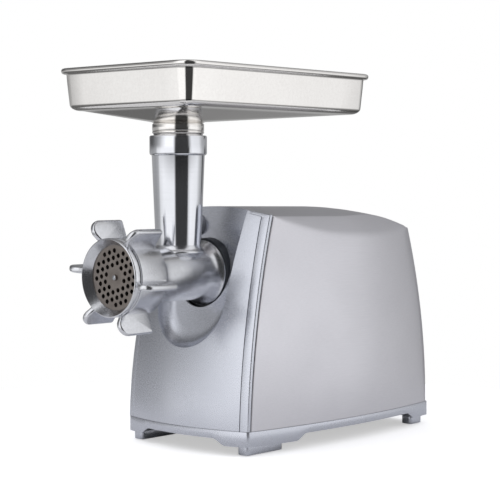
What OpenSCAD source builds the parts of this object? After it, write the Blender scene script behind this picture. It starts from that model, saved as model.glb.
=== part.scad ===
// Electric meat grinder: geared motor body, grinding head, screw ring and feed tray.
// X runs across the body, -Y is the outlet end, Z = 0 is the table; millimetres.

/* [Body] */
// Height of the seam between the base and the housing
seam_z = 25.5; // [24:0.5:28]
// Half width of the front face at the seam
front_half_w = 86.5; // [84:0.5:90]
// How far each side bulges beyond the front face halfway back
side_bulge = 14; // [8:0.5:16]
// Height of the top at the front, on the centre line
top_h = 252.5; // [248:0.5:258]
// Depth of the middle of the front face ahead of the origin
front_reach = 115; // [110:0.5:118]
// Distance from the origin to the rear face at the seam
rear_reach = 211; // [205:0.5:211]
// How far the front face bows forward between its corners
front_bow = 14.6; // [8:0.2:18]
// Thickness of the moulded shells
wall = 2.5; // [2:0.1:3]
// Width of the trim band round the front cover
trim_w = 9; // [6:0.5:12]
// Width of the shadow gaps between shells
gap = 0.4; // [0.3:0.1:0.6]

/* [Recess] */
// Half width of the scoop in the front cover
scoop_r = 48.5; // [46:0.5:50]
// Height of the centre of the scoop's round bottom
scoop_z = 154.5; // [152:0.5:157]

/* [Head] */
// Height of the grinding axis above the table
axis_z = 183; // [181:0.5:185]
// Distance of the feed tube ahead of the origin
tube_reach = 112; // [110:0.5:114]
// Outer radius of the barrel
barrel_r = 28; // [27:0.5:29]
// Bore radius of the barrel
bore_r = 24.6; // [24:0.1:25]
// Outer radius of the collar that carries the tray
collar_r = 29.6; // [28:0.2:31]
// Height of the collar's top face
collar_top = 325.6; // [320:0.2:330]
// Radius of the hole plate
plate_r = 34; // [33:0.5:35]
// Distance between holes of the plate
hole_pitch = 7.5; // [7:0.1:8]
// Diameter of the holes of the plate
hole_d = 4.6; // [3:0.2:5]
// Outer radius of the screw ring
ring_r = 39.5; // [39:0.5:41]
// Reach of the wings of the screw ring
wing_r = 60.5; // [56:0.5:62]

/* [Tray] */
// Width of the tray over its rim
tray_w = 193.8; // [180:0.2:200]
// Length of the tray over its rim
tray_l = 292.8; // [280:0.2:300]
// Height of the rim's top above the table
rim_z = 394.5; // [390:0.5:400]
// Height of the tray's floor at its edge
floor_z = 351; // [348:0.5:354]

/* [Gears] */
// Teeth of every pinion
pinion_teeth = 14; // [14:1:15]
// Teeth of the motor stage gear
gear_a_teeth = 70; // [70:1:70]
// Teeth of the middle stage gear
gear_b_teeth = 56; // [56:1:56]
// Teeth of the output gear
gear_out_teeth = 49; // [49:1:49]

/* [Hidden] */
$fn = 64;

// Y positions counted from the feed tube's axis
tube_y = -tube_reach;
ring_front_y = tube_y - 99;
ring_rear_y = tube_y - 55;
wing_front_y = ring_front_y - 3.5;
plate_front_y = tube_y - 89.3;
plate_t = 6;
knife_t = 7;

// Slopes and curvatures of the body's faces, per millimetre of height above the seam
side_lean = 2.0e-4;
front_lean_1 = 0.03;
front_lean_2 = 8.0e-4;
rear_lean = 6.2e-4;
shoulder_z = 243;
shoulder_x = 77.5;
shoulder_slope = 1.4;
crown_h = 9.5;
top_arch_t = 0.63;

// How far a profile point at height z has leaned in
function rise(z) = max(z - seam_z, 0);
function front_half(z) = front_half_w - side_lean * pow(rise(z), 2);
function front_y(x, z) = -front_reach + front_bow * pow(x / front_half(z), 2)
    + front_lean_1 * rise(z) + front_lean_2 * pow(rise(z), 2);
function rear_y(z) = rear_reach - rear_lean * pow(rise(z), 2);
function bulge(t) = side_bulge * 4 * t * (1 - t);
function side_x(t, z) = front_half(z) + bulge(t);

// The shoulder facet and the crowned top, at fraction t from front to rear
function late(t, start) = max(0, (t - start) / (1 - start));
function facet_shift(t) = 10 * pow(late(t, 0.5), 1.5);
function facet_x(t, z) = shoulder_x - facet_shift(t) + (shoulder_z - z) / shoulder_slope;
function apex_z(t) = top_h - 3 * t - 22 * pow(late(t, top_arch_t), 2);
function facet_low_z(t) = let (
        k = shoulder_x - facet_shift(t) + (shoulder_z - seam_z) / shoulder_slope
            - front_half_w - bulge(t),
        m = 1 / shoulder_slope)
    seam_z + (m - sqrt(m * m - 4 * side_lean * k)) / (2 * side_lean);
function facet_top_z(t) = max(facet_low_z(t) + 0.3,
    apex_z(t) - crown_h * (1 - 0.55 * late(t, 0.5)));

side_steps = 5;
crown_steps = 5;
// Points down one half of a section; the crown is drawn in by its own share of the inset
function half_section(t, inset, z_low, crown_share = 1) = let (
        drop = inset * crown_share,
        z_a = facet_low_z(t) - inset * 0.6,
        z_b = facet_top_z(t) - drop,
        x_b = facet_x(t, facet_top_z(t)) - inset * 0.9)
    concat(
        [for (i = [0:side_steps]) let (z = z_low + (z_a - z_low) * i / side_steps)
            [side_x(t, z) - inset, z]],
        [for (i = [0:crown_steps]) let (f = 1 - i / crown_steps)
            [x_b * f, apex_z(t) - drop - (apex_z(t) - drop - z_b) * f * f]]);

stations = [[0, 3], [0.003, 1.2], [0.01, 0], [0.08, 0], [0.17, 0], [0.27, 0], [0.37, 0],
    [0.47, 0], [0.57, 0], [0.67, 0], [0.76, 0], [0.84, 0], [0.91, 0], [0.955, 0], [0.98, 1.4],
    [0.993, 4], [1, 8]];
cap_columns = 10;
half_n = side_steps + crown_steps + 2;
function depth_y(p, t, inset) = let (y0 = front_y(p[0], p[1]))
    y0 + t * (rear_y(p[1]) - inset - y0);
function quads(a, b, c, d) = [[a, b, c], [a, c, d]];

// Closes a ring of n points, n odd, whose two halves mirror each other
function cap_strips(n, first, forward) = let (
        half = (n - 1) / 2,
        strips = concat(
            [for (i = [0:half - 2]) each quads(first + i, first + i + 1,
                first + n - 2 - i, first + n - 1 - i)],
            [[first + half - 1, first + half, first + half + 1]]))
    forward ? strips : [for (t = strips) [t[0], t[2], t[1]]];

// The body's outer form, or the hollow inside it when inset is the wall thickness
module body_form(inset, z_low) {
    ring_n = 2 * half_n - 1;
    rings = [for (s = stations) let (
            half = half_section(s[0], s[1] + inset, z_low))
        concat(
            [for (p = half) [p[0], depth_y(p, s[0], inset), p[1]]],
            [for (i = [half_n - 2:-1:0]) let (p = half[i]) [-p[0], depth_y(p, s[0], inset), p[1]]])];
    front = half_section(stations[0][0], stations[0][1] + inset, z_low);
    cap = [for (p = front, k = [0:cap_columns]) let (x = p[0] * (2 * k / cap_columns - 1))
        [x, front_y(x, p[1]), p[1]]];
    row = cap_columns + 1;
    ring_0 = len(cap);
    last = ring_0 + (len(stations) - 1) * ring_n;
    apex_row = half_n - 2;
    faces = concat(
        [for (i = [0:apex_row - 1], k = [0:cap_columns - 1])
            each quads(i * row + k, (i + 1) * row + k, (i + 1) * row + k + 1, i * row + k + 1)],
        [for (k = [0:cap_columns - 1])
            [apex_row * row + k, (apex_row + 1) * row, apex_row * row + k + 1]],
        [for (j = [0:len(stations) - 2], i = [0:ring_n - 1]) let (
                a = ring_0 + j * ring_n + i,
                b = ring_0 + j * ring_n + (i + 1) % ring_n)
            each quads(a, b, b + ring_n, a + ring_n)],
        [for (i = [0:apex_row - 1]) each quads(last + i, last + i + 1,
            last + ring_n - 2 - i, last + ring_n - 1 - i)],
        [[last + apex_row, last + apex_row + 1, last + apex_row + 2]]);
    bottom_fan = [for (k = [0:cap_columns - 2]) [k, k + 1, cap_columns]];
    polyhedron(concat(cap, [for (r = rings) each r]), concat(faces, bottom_fan));
}

// Everything behind the front face, set back by the given depth
module behind_front(depth) {
    columns = 12;
    rows = 10;
    reach = 112;
    low = seam_z - 8;
    step = (top_h + 8 - low) / rows;
    n = columns + 1;
    count = n * (rows + 1);
    back = rear_reach + 40;
    grid = [for (r = [0:rows], c = [0:columns]) let (
            x = reach * (2 * c / columns - 1), z = low + r * step)
        [x, front_y(x, z) + depth, z]];
    faces = concat(
        [for (r = [0:rows - 1], c = [0:columns - 1])
            each quads(r * n + c, (r + 1) * n + c, (r + 1) * n + c + 1, r * n + c + 1)],
        [[for (c = [0:columns]) c, count + 1, count]],
        [[for (c = [columns:-1:0]) rows * n + c, count + 2, count + 3]],
        [[for (r = [rows:-1:0]) r * n, count, count + 2]],
        [[for (r = [0:rows]) r * n + columns, count + 3, count + 1]],
        [[count, count + 1, count + 3, count + 2]]);
    corners = [for (z = [low, low + rows * step], x = [-reach, reach]) [x, back, z]];
    polyhedron(concat(grid, corners), faces);
}

// Placing helpers
module slab_y(y_from, y_to)
    translate([0, y_to, 0]) rotate([90, 0, 0]) linear_extrude(y_to - y_from) children();
module rod_y(x, z, y_from) translate([x, y_from, z]) rotate([-90, 0, 0]) children();
module on_axis(y_from) rod_y(0, axis_z, y_from) children();
module tube(r_out, r_in, h) linear_extrude(h) difference() {
    circle(r_out);
    circle(r_in);
}
module mirror_x() {
    children();
    mirror([1, 0, 0]) children();
}

// The outline of the front face in X and Z, drawn in from its edge but little at the top
top_share = 0.2;
module front_outline(inset, z_low) {
    half = half_section(0, inset, z_low, top_share);
    polygon(concat(half, [for (i = [len(half) - 2:-1:0]) [-half[i][0], half[i][1]]]));
}

// The scoop in the front cover: a U-shaped hollow with a leaning flat wall
scoop_lean = 0.24;
scoop_round = 16;
scoop_flare = 0.03;
scoop_side_z = [275, 235, 205, 178];
scoop_layers = [0, 1, 2.6, 5.2, 8.8, 12.4, 16, 90];
function scoop_wall_y(z) = tube_y + 38.5 + scoop_lean * (z - axis_z);
function scoop_shrink(d, z) = let (
        soft = max(0.06, 1 - max(0, z - scoop_z) / 70),
        f = 1 - min(d / scoop_round, 1))
    scoop_round * soft * (1 - sqrt(1 - f * f));
function scoop_point(x_sign, r, z, d) = [x_sign * (r + scoop_flare * (z - scoop_z)
    - scoop_shrink(d, z)), scoop_wall_y(z) - d, z];
module scoop(extra) {
    r = scoop_r + extra;
    arc_steps = 14;
    rings = [for (d = scoop_layers) concat(
        [for (z = scoop_side_z) scoop_point(1, r, z, d)],
        [for (i = [0:arc_steps]) let (a = -180 * i / arc_steps, q = r - scoop_shrink(d, scoop_z))
            [q * cos(a), scoop_wall_y(scoop_z + q * sin(a)) - d, scoop_z + q * sin(a)]],
        [for (k = [len(scoop_side_z) - 1:-1:0]) scoop_point(-1, r, scoop_side_z[k], d)])];
    n = len(rings[0]);
    count = len(rings);
    faces = concat(
        cap_strips(n, 0, false),
        [for (j = [0:count - 2], i = [0:n - 1]) let (a = j * n + i, b = j * n + (i + 1) % n)
            each quads(a, b, b + n, a + n)],
        cap_strips(n, (count - 1) * n, true));
    translate([0, extra, 0]) polyhedron([for (g = rings) each g], faces);
}

// ---- Shells of the body ----

// Plan outline of the body at the seam, drawn in by the given distance
function plan_side(t, inset) = [side_x(t, seam_z) - inset,
    -front_reach + front_bow + inset + t * (rear_reach + front_reach - front_bow - 2 * inset)];
module plan_outline(inset) {
    corner = 3;
    rear_corner = 9;
    x_end = front_half_w - inset - corner;
    right = concat(
        [for (i = [0:6]) let (x = x_end * i / 6) [x, front_y(x, seam_z) + inset]],
        [for (t = [0.012:0.066:0.94]) plan_side(t, inset)],
        [for (a = [0:22.5:90]) [side_x(0.97, seam_z) - inset - rear_corner * (1 - cos(a)),
            rear_reach - inset - rear_corner * (1 - sin(a))]]);
    n = len(right);
    polygon(concat(right, [for (i = [n - 1:-1:1]) [-right[i][0], right[i][1]]]));
}

foot_x = 76;
foot_half_w = 7;
foot_front = [-98, -42];
foot_rear = [181, 203];
skirt_low_z = 10;
arch_z = 17;
deck_low_z = 22;
cover_z = 17.4;
cover_t = 2.4;
boss_spots = [[62, -80], [78, 60], [62, 186]];
function s_curve(f) = (1 - cos(180 * f)) / 2;

// The opening under the skirt between two feet, drawn along X from a to b
module arch_profile(a, b) {
    run = 16;
    polygon(concat([[a, 0], [a, skirt_low_z]],
        [for (i = [1:6]) [a + run * i / 6, skirt_low_z + (arch_z - skirt_low_z) * s_curve(i / 6)]],
        [for (i = [6:-1:1]) [b - run * i / 6, skirt_low_z + (arch_z - skirt_low_z) * s_curve(i / 6)]],
        [[b, skirt_low_z], [b, 0]]));
}

module base_skirt() {
    skirt_t = 3;
    lip_clear = 0.5;
    color("lightsteelblue") difference() {
        union() {
            translate([0, 0, skirt_low_z]) linear_extrude(seam_z - skirt_low_z) plan_outline(0);
            translate([0, 0, seam_z - 0.5]) linear_extrude(5) difference() {
                plan_outline(wall + lip_clear);
                plan_outline(wall + lip_clear + 1.8);
                translate([-150, -150]) square([300, 56]);
                translate([-150, rear_reach - 26]) square([300, 40]);
            }
        }
        difference() {
            translate([0, 0, skirt_low_z - 1]) linear_extrude(deck_low_z - skirt_low_z + 1)
                plan_outline(skirt_t);
            mirror_x() for (p = boss_spots) translate([p[0], p[1], cover_z + cover_t + 0.05])
                cylinder(h = 10, r = 5);
            mirror_x() for (span = [foot_front, foot_rear])
                translate([foot_x - foot_half_w, span[0], skirt_low_z - 2])
                    cube([2 * foot_half_w, span[1] - span[0], 20]);
        }
        mirror_x() for (p = boss_spots) translate([p[0], p[1], cover_z])
            cylinder(h = 7, r = 1.5);
        slab_y(-130, -90) arch_profile(-62, 62);
        translate([-150, 0, 0]) rotate([90, 0, 90]) linear_extrude(300)
            arch_profile(foot_front[1] + 6, foot_rear[0] - 6);
        mirror_x() for (y = [-20:26:136]) translate([30, y, deck_low_z - 1])
            cube([26, 5, 6]);
    }
}

module bottom_cover() {
    color("dimgray") difference() {
        translate([0, 0, cover_z]) linear_extrude(cover_t) difference() {
            plan_outline(3.6);
            for (side = [-1, 1], span = [foot_front, foot_rear])
                translate([side * foot_x - foot_half_w - 0.3, span[0] - 0.3])
                    square([2 * foot_half_w + 0.6, span[1] - span[0] + 0.6]);
        }
        mirror_x() for (p = boss_spots) translate([p[0], p[1], cover_z - 1]) cylinder(h = 6, r = 1.8);
        mirror_x() for (y = [-20:13:136]) translate([26, y, cover_z - 1]) cube([34, 5, 6]);
    }
}

module foot_block(span) {
    corner = 4;
    translate([foot_x, span[0], 0]) hull() for (x = [-1, 1], y = [0, 1], top = [0, 1])
        translate([x * (foot_half_w - corner - (1 - top)),
            corner + y * (span[1] - span[0] - 2 * corner), 0.8 + top * (skirt_low_z - 1.8)])
            cylinder(h = 1, r = corner, $fn = 16);
}
module feet() {
    color("lightsteelblue") mirror_x() difference() {
        union() {
            foot_block(foot_front);
            foot_block(foot_rear);
        }
        for (span = [foot_front, foot_rear]) pad_form(span, 0.05, 3.1);
    }
}
module pad_form(span, clear, top)
    translate([foot_x - 3.5 - clear, span[0] + 5 - clear, 0])
        cube([7 + 2 * clear, span[1] - span[0] - 10 + 2 * clear, top]);
module foot_pads() {
    color("black") mirror_x() for (span = [foot_front, foot_rear]) pad_form(span, 0, 3);
}

grille_z = 125;
grille_tilt = 7;
module at_grille() translate([0, rear_y(grille_z), grille_z]) rotate([grille_tilt, 0, 0]) children();
panel_z = 165;
panel_tilt = 3.8;
panel_yaw = 5.2;
panel_x = -93.5;
module at_panel() translate([panel_x, 0, panel_z]) rotate([0, panel_tilt, panel_yaw]) children();
gland_z = 46;
trim_depth = 3.8;

// The housing's skin, notched at the top where the cover's scoop comes through
module housing_skin() {
    difference() {
        intersection() {
            body_form(0, seam_z + gap);
            behind_front(trim_depth + gap);
        }
        body_form(wall, seam_z - 6);
        scoop(wall + gap);
    }
}
module housing_shell() {
    widest = 2 * max([for (s = stations) side_x(s[0], seam_z + gap) - s[1]]);
    color("gainsboro") difference() {
        resize([widest, 0, 0]) housing_skin();
        at_grille() cube([96.8, 20, 64.8], center = true);
        at_panel() cube([20, 44.8, 84.8], center = true);
        rod_y(0, gland_z, rear_reach - 10) cylinder(h = 20, r = 8.3);
    }
}

// The bands between the front cover and the housing, with a ledge behind the cover
trim_ledge = 4;
trim_section = [[trim_w, 0], [3, 0], [1.2, 0.9], [0, 3.1], [0, trim_depth],
    [trim_w + trim_ledge, trim_depth], [trim_w + trim_ledge, wall + 0.4], [trim_w, wall + 0.4]];
module trim_arch() {
    bands = [for (c = trim_section) let (half = half_section(0, c[0], seam_z + gap, top_share))
        concat([for (p = half) [p[0], front_y(p[0], p[1]) + c[1], p[1]]],
            [for (i = [half_n - 2:-1:0]) let (p = half[i])
                [-p[0], front_y(p[0], p[1]) + c[1], p[1]]])];
    n = len(trim_section);
    stops = len(bands[0]);
    points = [for (i = [0:stops - 1], c = [0:n - 1]) bands[c][i]];
    polyhedron(points, concat(
        [[for (c = [0:n - 1]) c]],
        [for (i = [0:stops - 2], c = [0:n - 1]) let (a = i * n + c, b = i * n + (c + 1) % n)
            each quads(a, a + n, b + n, b)],
        [[for (c = [n - 1:-1:0]) (stops - 1) * n + c]]));
}
module trim_frame() {
    color("silver") resize([2 * front_half(seam_z + gap), 0, 0]) difference() {
        trim_arch();
        scoop(wall + gap);
    }
}

button_x = -20;
button_z = 232;
button_r = 11;
socket_r = 36;
// The cover's skin, cut to the opening inside the trim, with its scoop open at the top
module cover_moulding() {
    difference() {
        union() {
            intersection() {
                difference() {
                    body_form(0, seam_z + gap);
                    behind_front(wall);
                }
                slab_y(-160, 60) front_outline(trim_w + gap, seam_z + gap);
            }
            intersection() {
                scoop(wall);
                body_form(0.3, seam_z + gap);
                behind_front(0.3);
            }
        }
        scoop(0);
    }
}
module front_cover() {
    opening_w = 2 * (front_half_w - trim_w - gap);
    color("lightgray") difference() {
        resize([opening_w, 0, 0]) cover_moulding();
        on_axis(-100) cylinder(h = 60, r = socket_r + 0.4);
        rod_y(button_x, button_z, -100) cylinder(h = 60, r = button_r + 0.4);
    }
}

module rear_grille() {
    color("gray") at_grille() difference() {
        union() {
            translate([-48, -2.6, -32]) cube([96, 1.8, 64]);
            translate([-48, -5.2, -32]) cube([96, 2.6, 64]);
            translate([-52, -6, -35]) cube([104, 1.8, 70]);
        }
        for (i = [0:7]) translate([-42, -8, -27 + i * 7]) cube([84, 12, 3.6]);
    }
}

// A plain inlet bush for the lead, without the lead itself
module cord_gland() {
    color("black") rod_y(0, gland_z, 0) rotate_extrude() polygon([
        [3.6, 203], [9.6, 203], [9.6, 207.3], [8.1, 207.6], [8.1, 211.1], [11, 211.1], [11, 212.8],
        [8.4, -wing_front_y], [3.6, -wing_front_y]]);
}

// ---- Controls on the side ----
rocker_z = 20;
reverse_z = -21;
rocker_pivot_x = 8;
module switch_panel() {
    color("dimgray") at_panel() difference() {
        union() {
            translate([0.8, -22, -42]) cube([2.8, 44, 84]);
            translate([3.6, -25, -45]) cube([1.4, 50, 90]);
        }
        translate([-1, -10.8, rocker_z - 16.4]) cube([10, 21.6, 32.8]);
        translate([-1, 0, reverse_z]) rotate([0, 90, 0]) cylinder(h = 10, r = 7.8);
    }
}
module switch_case() {
    color("black") at_panel() difference() {
        translate([5.05, -15, -38]) cube([25, 30, 76]);
        translate([4, -10.8, rocker_z - 17]) cube([15, 21.6, 34]);
        translate([4, 0, reverse_z]) rotate([0, 90, 0]) cylinder(h = 9, r = 9);
        translate([4, 0, reverse_z]) rotate([0, 90, 0]) cylinder(h = 30, r = 3.05);
        translate([rocker_pivot_x, -13, rocker_z]) rotate([-90, 0, 0]) cylinder(h = 26, r = 2.06);
    }
}
module power_rocker() {
    rest_tilt = -10;
    color("black") at_panel() translate([rocker_pivot_x, 0, rocker_z]) rotate([0, rest_tilt, 0]) {
        rotate([90, 0, 0]) linear_extrude(20, center = true) polygon([
            [-9.5, 14], [-7, 0], [-9.5, -14], [-2, -12], [3, -4], [3, 4], [-2, 12]]);
        rotate([90, 0, 0]) cylinder(h = 24, r = 2, center = true);
    }
}
module reverse_button() {
    color("black") at_panel() translate([0, 0, reverse_z]) rotate([0, 90, 0]) rotate_extrude() polygon([
        [0, -2.4], [4, -2.2], [6.4, -1.2], [7.4, 0.4], [7.4, 5.2], [8.6, 5.2], [8.6, 6.4], [3, 6.4],
        [3, 22], [0, 22]]);
}

// A coil spring along +Z, swept as rings of points round the wire
module coil(r, wire_r, h, turns) {
    sides = 6;
    per_turn = 12;
    count = per_turn * turns + 1;
    points = [for (i = [0:count - 1], k = [0:sides - 1]) let (
            a = 360 * i / per_turn, b = 360 * k / sides, q = r + wire_r * cos(b))
        [q * cos(a), q * sin(a), wire_r + (h - 2 * wire_r) * i / (count - 1) + wire_r * sin(b)]];
    polyhedron(points, concat(
        [[for (k = [0:sides - 1]) k]],
        [for (i = [0:count - 2], k = [0:sides - 1]) let (
                a = i * sides + k, b = i * sides + (k + 1) % sides)
            each quads(a, a + sides, b + sides, b)],
        [[for (k = [sides - 1:-1:0]) (count - 1) * sides + k]]));
}
module reverse_spring() {
    color("silver") at_panel() translate([6.5, 0, reverse_z]) rotate([0, 90, 0]) coil(5, 0.5, 6.2, 3);
}
module control_board() {
    color("darkgreen") difference() {
        union() {
            translate([-74, 84, 27]) cube([1.6, 62, 66]);
            translate([-78, 84, seam_z]) cube([14, 62, 1.5]);
            translate([-72.4, 92, 62]) capacitors();
            translate([-72.4, 96, 34]) cube([14, 34, 20]);
        }
        translate([-70, 115, seam_z - 1]) cylinder(h = 4, r = 1.8);
    }
}
module capacitors() for (y = [0, 22]) translate([0, y, 8]) rotate([0, 90, 0]) cylinder(h = 18, r = 7);

// ---- Release button and lock ----
lock_r = 33;
lock_angle = atan2(button_z - axis_z, button_x);
lock_x = lock_r * cos(lock_angle);
lock_z = axis_z + lock_r * sin(lock_angle);
module release_button() {
    color("silver") rod_y(button_x, button_z, 0) rotate_extrude() polygon(concat(
        [for (a = [0:15:75]) [button_r * sin(a), -66.5 - 6 * cos(a)]],
        [[button_r, -66], [button_r, -57.6], [4, -57.6], [4, -36], [0, -36]]));
}
module lock_pin() {
    color("silver") difference() {
        union() {
            rod_y(lock_x, lock_z, -78.6) cylinder(h = 23.6, r = 2);
            slab_y(-57.5, -54.5) hull() {
                translate([lock_x, lock_z]) circle(2.4, $fn = 24);
                translate([button_x, button_z]) circle(6.5, $fn = 32);
            }
        }
        rod_y(button_x, button_z, -70) cylinder(h = 20, r = 4.02);
    }
}
module release_spring() {
    color("silver") rod_y(button_x, button_z, -54.4) coil(5.4, 0.6, 10.3, 4);
}
module head_socket() {
    ear_r = 7;
    color("#202428") difference() {
        union() {
            on_axis(0) rotate_extrude() polygon([
                [30.1, -76.4], [socket_r - 0.8, -76.4], [socket_r, -75.6], [socket_r, -12], [44, -12],
                [44, -8.1], [24, -8.1], [24, -38], [30.1, -41]]);
            slab_y(-44, -40) hull() {
                translate([lock_x, lock_z]) circle(ear_r, $fn = 32);
                translate([button_x, button_z]) circle(ear_r, $fn = 32);
            }
        }
        rod_y(lock_x, lock_z, -80) cylinder(h = 40, r = 2.2);
        slab_y(-62, -46) translate([lock_x, lock_z]) rotate(lock_angle)
            translate([-2.8, -3.8]) square([20, 7.6]);
        rod_y(button_x, button_z, -50) cylinder(h = 20, r = 4.1);
        on_axis(-60) cylinder(h = 40, r = 30.1);
        on_axis(-42) cylinder(h = 60, r = 24);
        for (a = [45:90:315]) on_axis(-13) translate([40.6 * cos(a), 40.6 * sin(a), 0])
            cylinder(h = 8, r = 1.8);
    }
}

// ---- Gear train ----
gear_m_out = 1.5;
gear_m_b = 1.25;
gear_m_a = 0.8;
gear_play = 0.1;
function pitch_r(teeth, m) = teeth * m / 2;
span_out = pitch_r(gear_out_teeth + pinion_teeth, gear_m_out) + gear_play;
span_b = pitch_r(gear_b_teeth + pinion_teeth, gear_m_b) + gear_play;
span_a = pitch_r(gear_a_teeth + pinion_teeth, gear_m_a) + gear_play;
shaft_b = [0, axis_z - span_out];
shaft_a_x = 30;
shaft_a = [shaft_a_x, shaft_b[1] - sqrt(span_b * span_b - shaft_a_x * shaft_a_x)];
motor_c = [0, shaft_a[1] - sqrt(span_a * span_a - shaft_a_x * shaft_a_x)];
function aim(from, to) = atan2(to[1] - from[1], to[0] - from[0]);
aim_ob = aim([0, axis_z], shaft_b);
aim_ba = aim(shaft_b, shaft_a);
aim_am = aim(shaft_a, motor_c);
half_pitch = 180 / pinion_teeth;

pressure = 20;
function roll(r, base) = r <= base ? 0 : sqrt(pow(r / base, 2) - 1) * 180 / PI - acos(base / r);
function tooth_half(r, teeth, m) = let (base = pitch_r(teeth, m) * cos(pressure))
    90 / teeth - 0.03 * 180 / PI / pitch_r(teeth, m) + roll(pitch_r(teeth, m), base) - roll(r, base);
function gear_points(teeth, m) = let (
        rp = pitch_r(teeth, m), base = rp * cos(pressure),
        root = rp - 1.15 * m, tip = rp + 0.8 * m,
        flank = max(base, root),
        radii = [flank, flank + (tip - flank) * 0.3, flank + (tip - flank) * 0.65, tip],
        foot = base > root ? [root] : [])
    [for (k = [0:teeth - 1]) let (c = 360 * k / teeth) each concat(
        [for (r = foot) let (a = c - tooth_half(base, teeth, m)) r * [cos(a), sin(a)]],
        [for (r = radii) let (a = c - tooth_half(r, teeth, m)) r * [cos(a), sin(a)]],
        [for (i = [3:-1:0]) let (r = radii[i], a = c + tooth_half(r, teeth, m))
            r * [cos(a), sin(a)]],
        [for (r = foot) let (a = c + tooth_half(base, teeth, m)) r * [cos(a), sin(a)]])];
module gear_wheel(at, teeth, m, turn, y_from, y_to, bore, web_holes) {
    slab_y(y_from, y_to) translate(at) difference() {
        rotate(turn) polygon(gear_points(teeth, m));
        circle(bore);
        for (i = [0:1:web_holes - 1]) rotate(360 * i / web_holes)
            translate([pitch_r(teeth, m) * 0.6, 0]) circle(pitch_r(teeth, m) * 0.17);
    }
}

module case_outline(grow) {
    hull() {
        translate([0, axis_z]) circle(40 + grow);
        translate(shaft_b) circle(38 + grow);
        translate(shaft_a) circle(31 + grow);
        translate(motor_c) circle(20 + grow, $fn = 40);
    }
}
case_rear_y = 60;
module shaft_holes(y_from, h, r_out, r_lay) {
    on_axis(y_from) cylinder(h = h, r = r_out);
    rod_y(shaft_b[0], shaft_b[1], y_from) cylinder(h = h, r = r_lay);
    rod_y(shaft_a[0], shaft_a[1], y_from) cylinder(h = h, r = r_lay);
}
module gearbox_case() {
    color("darkgray") difference() {
        union() {
            slab_y(-8, case_rear_y) case_outline(4);
            slab_y(4, 10) translate([-46, seam_z]) square([92, 60]);
            translate([-46, -14, seam_z]) cube([92, 40, 4]);
        }
        slab_y(1, case_rear_y + 1) case_outline(0);
        shaft_holes(-20, 40, 16.02, 8.02);
        mirror_x() for (y = [-8, 20]) translate([38, y, seam_z - 1]) cylinder(h = 8, r = 2.2);
    }
}
module gearbox_cover() {
    color("darkgray") difference() {
        slab_y(case_rear_y + 0.05, 68) case_outline(4);
        shaft_holes(50, 40, 11.02, 8.02);
        rod_y(motor_c[0], motor_c[1], 50) cylinder(h = 40, r = 11.02);
        for (p = cover_screws) rod_y(p[0], p[1], 50) cylinder(h = 30, r = 2.1);
    }
}
cover_screws = [[36, 205], [-36, 205], [-36, 150], [50, 128], [-19.5, 78]];
module output_bushes() {
    color("peru") {
        on_axis(-8) tube(16, 12.05, 9);
        on_axis(case_rear_y) tube(11, 8.05, 8);
    }
}
module layshaft_bushes() {
    color("peru") for (p = [shaft_b, shaft_a], y = [-7, case_rear_y])
        rod_y(p[0], p[1], y) tube(8, 5.05, 7);
}
module drive_coupler() {
    color("silver") difference() {
        on_axis(0) rotate_extrude() polygon([
            [0, -40], [14.2, -40], [15, -39.2], [15, -9], [12, -9], [12, 25], [8, 25], [8, 67],
            [0, 67]]);
        on_axis(-41) rotate(30) cylinder(h = 27, r = 7.5, $fn = 6);
    }
}
module output_gear() {
    color("dimgray") gear_wheel([0, axis_z], gear_out_teeth, gear_m_out, aim_ob, 8, 24, 12.02, 6);
}
module layshaft_b() {
    color("silver") {
        gear_wheel(shaft_b, pinion_teeth, gear_m_out, aim_ob + 180 + half_pitch, 7, 25, 5, 0);
        rod_y(shaft_b[0], shaft_b[1], -6.5) cylinder(h = 73, r = 5);
    }
}
module gear_b() {
    color("ivory") gear_wheel(shaft_b, gear_b_teeth, gear_m_b, aim_ba, 30, 42, 5.02, 6);
}
module layshaft_a() {
    color("silver") {
        gear_wheel(shaft_a, pinion_teeth, gear_m_b, aim_ba + 180 + half_pitch, 29, 43, 5, 0);
        rod_y(shaft_a[0], shaft_a[1], -6.5) cylinder(h = 73, r = 5);
    }
}
module gear_a() {
    color("ivory") gear_wheel(shaft_a, gear_a_teeth, gear_m_a, aim_am, 48, 56, 5.02, 6);
}

// ---- Motor ----
module on_motor(y_from) rod_y(motor_c[0], motor_c[1], y_from) children();
module motor_shaft() {
    color("silver") {
        gear_wheel(motor_c, pinion_teeth, gear_m_a, aim_am + 180 + half_pitch, 47, 57, 4, 0);
        on_motor(46) cylinder(h = 124, r = 4);
    }
}
module motor_can() {
    color("gray") difference() {
        on_motor(68.1) tube(46, 43.6, 90);
        for (a = [45:90:315]) on_motor(76) rotate(a) translate([0, -9, 0]) cube([60, 18, 12]);
        on_motor(142) translate([-60, -5.6, 0]) cube([120, 11.2, 12]);
    }
}
module motor_end_cap() {
    color("gray") difference() {
        on_motor(0) rotate_extrude() polygon([
            [11.02, 160], [14, 160], [14, 164], [41, 164], [41, 154], [43.5, 154], [43.5, 158.2],
            [46, 158.2], [46, 168], [14, 168], [14, 172], [5, 172], [5, 169.2], [11.02, 169.2]]);
        for (a = [0:45:315]) on_motor(150) rotate(a) translate([20, -4, 0]) cube([18, 8, 30]);
    }
}
module rotor_bearings() {
    color("silver") for (y = [60.5, 161]) on_motor(y) rotate_extrude() polygon([
        [4.05, 0], [6, 0], [6.6, 0.8], [8.6, 0.8], [9.2, 0], [11, 0], [11, 7], [9.2, 7], [8.6, 6.2],
        [6.6, 6.2], [6, 7], [4.05, 7]]);
}
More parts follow.
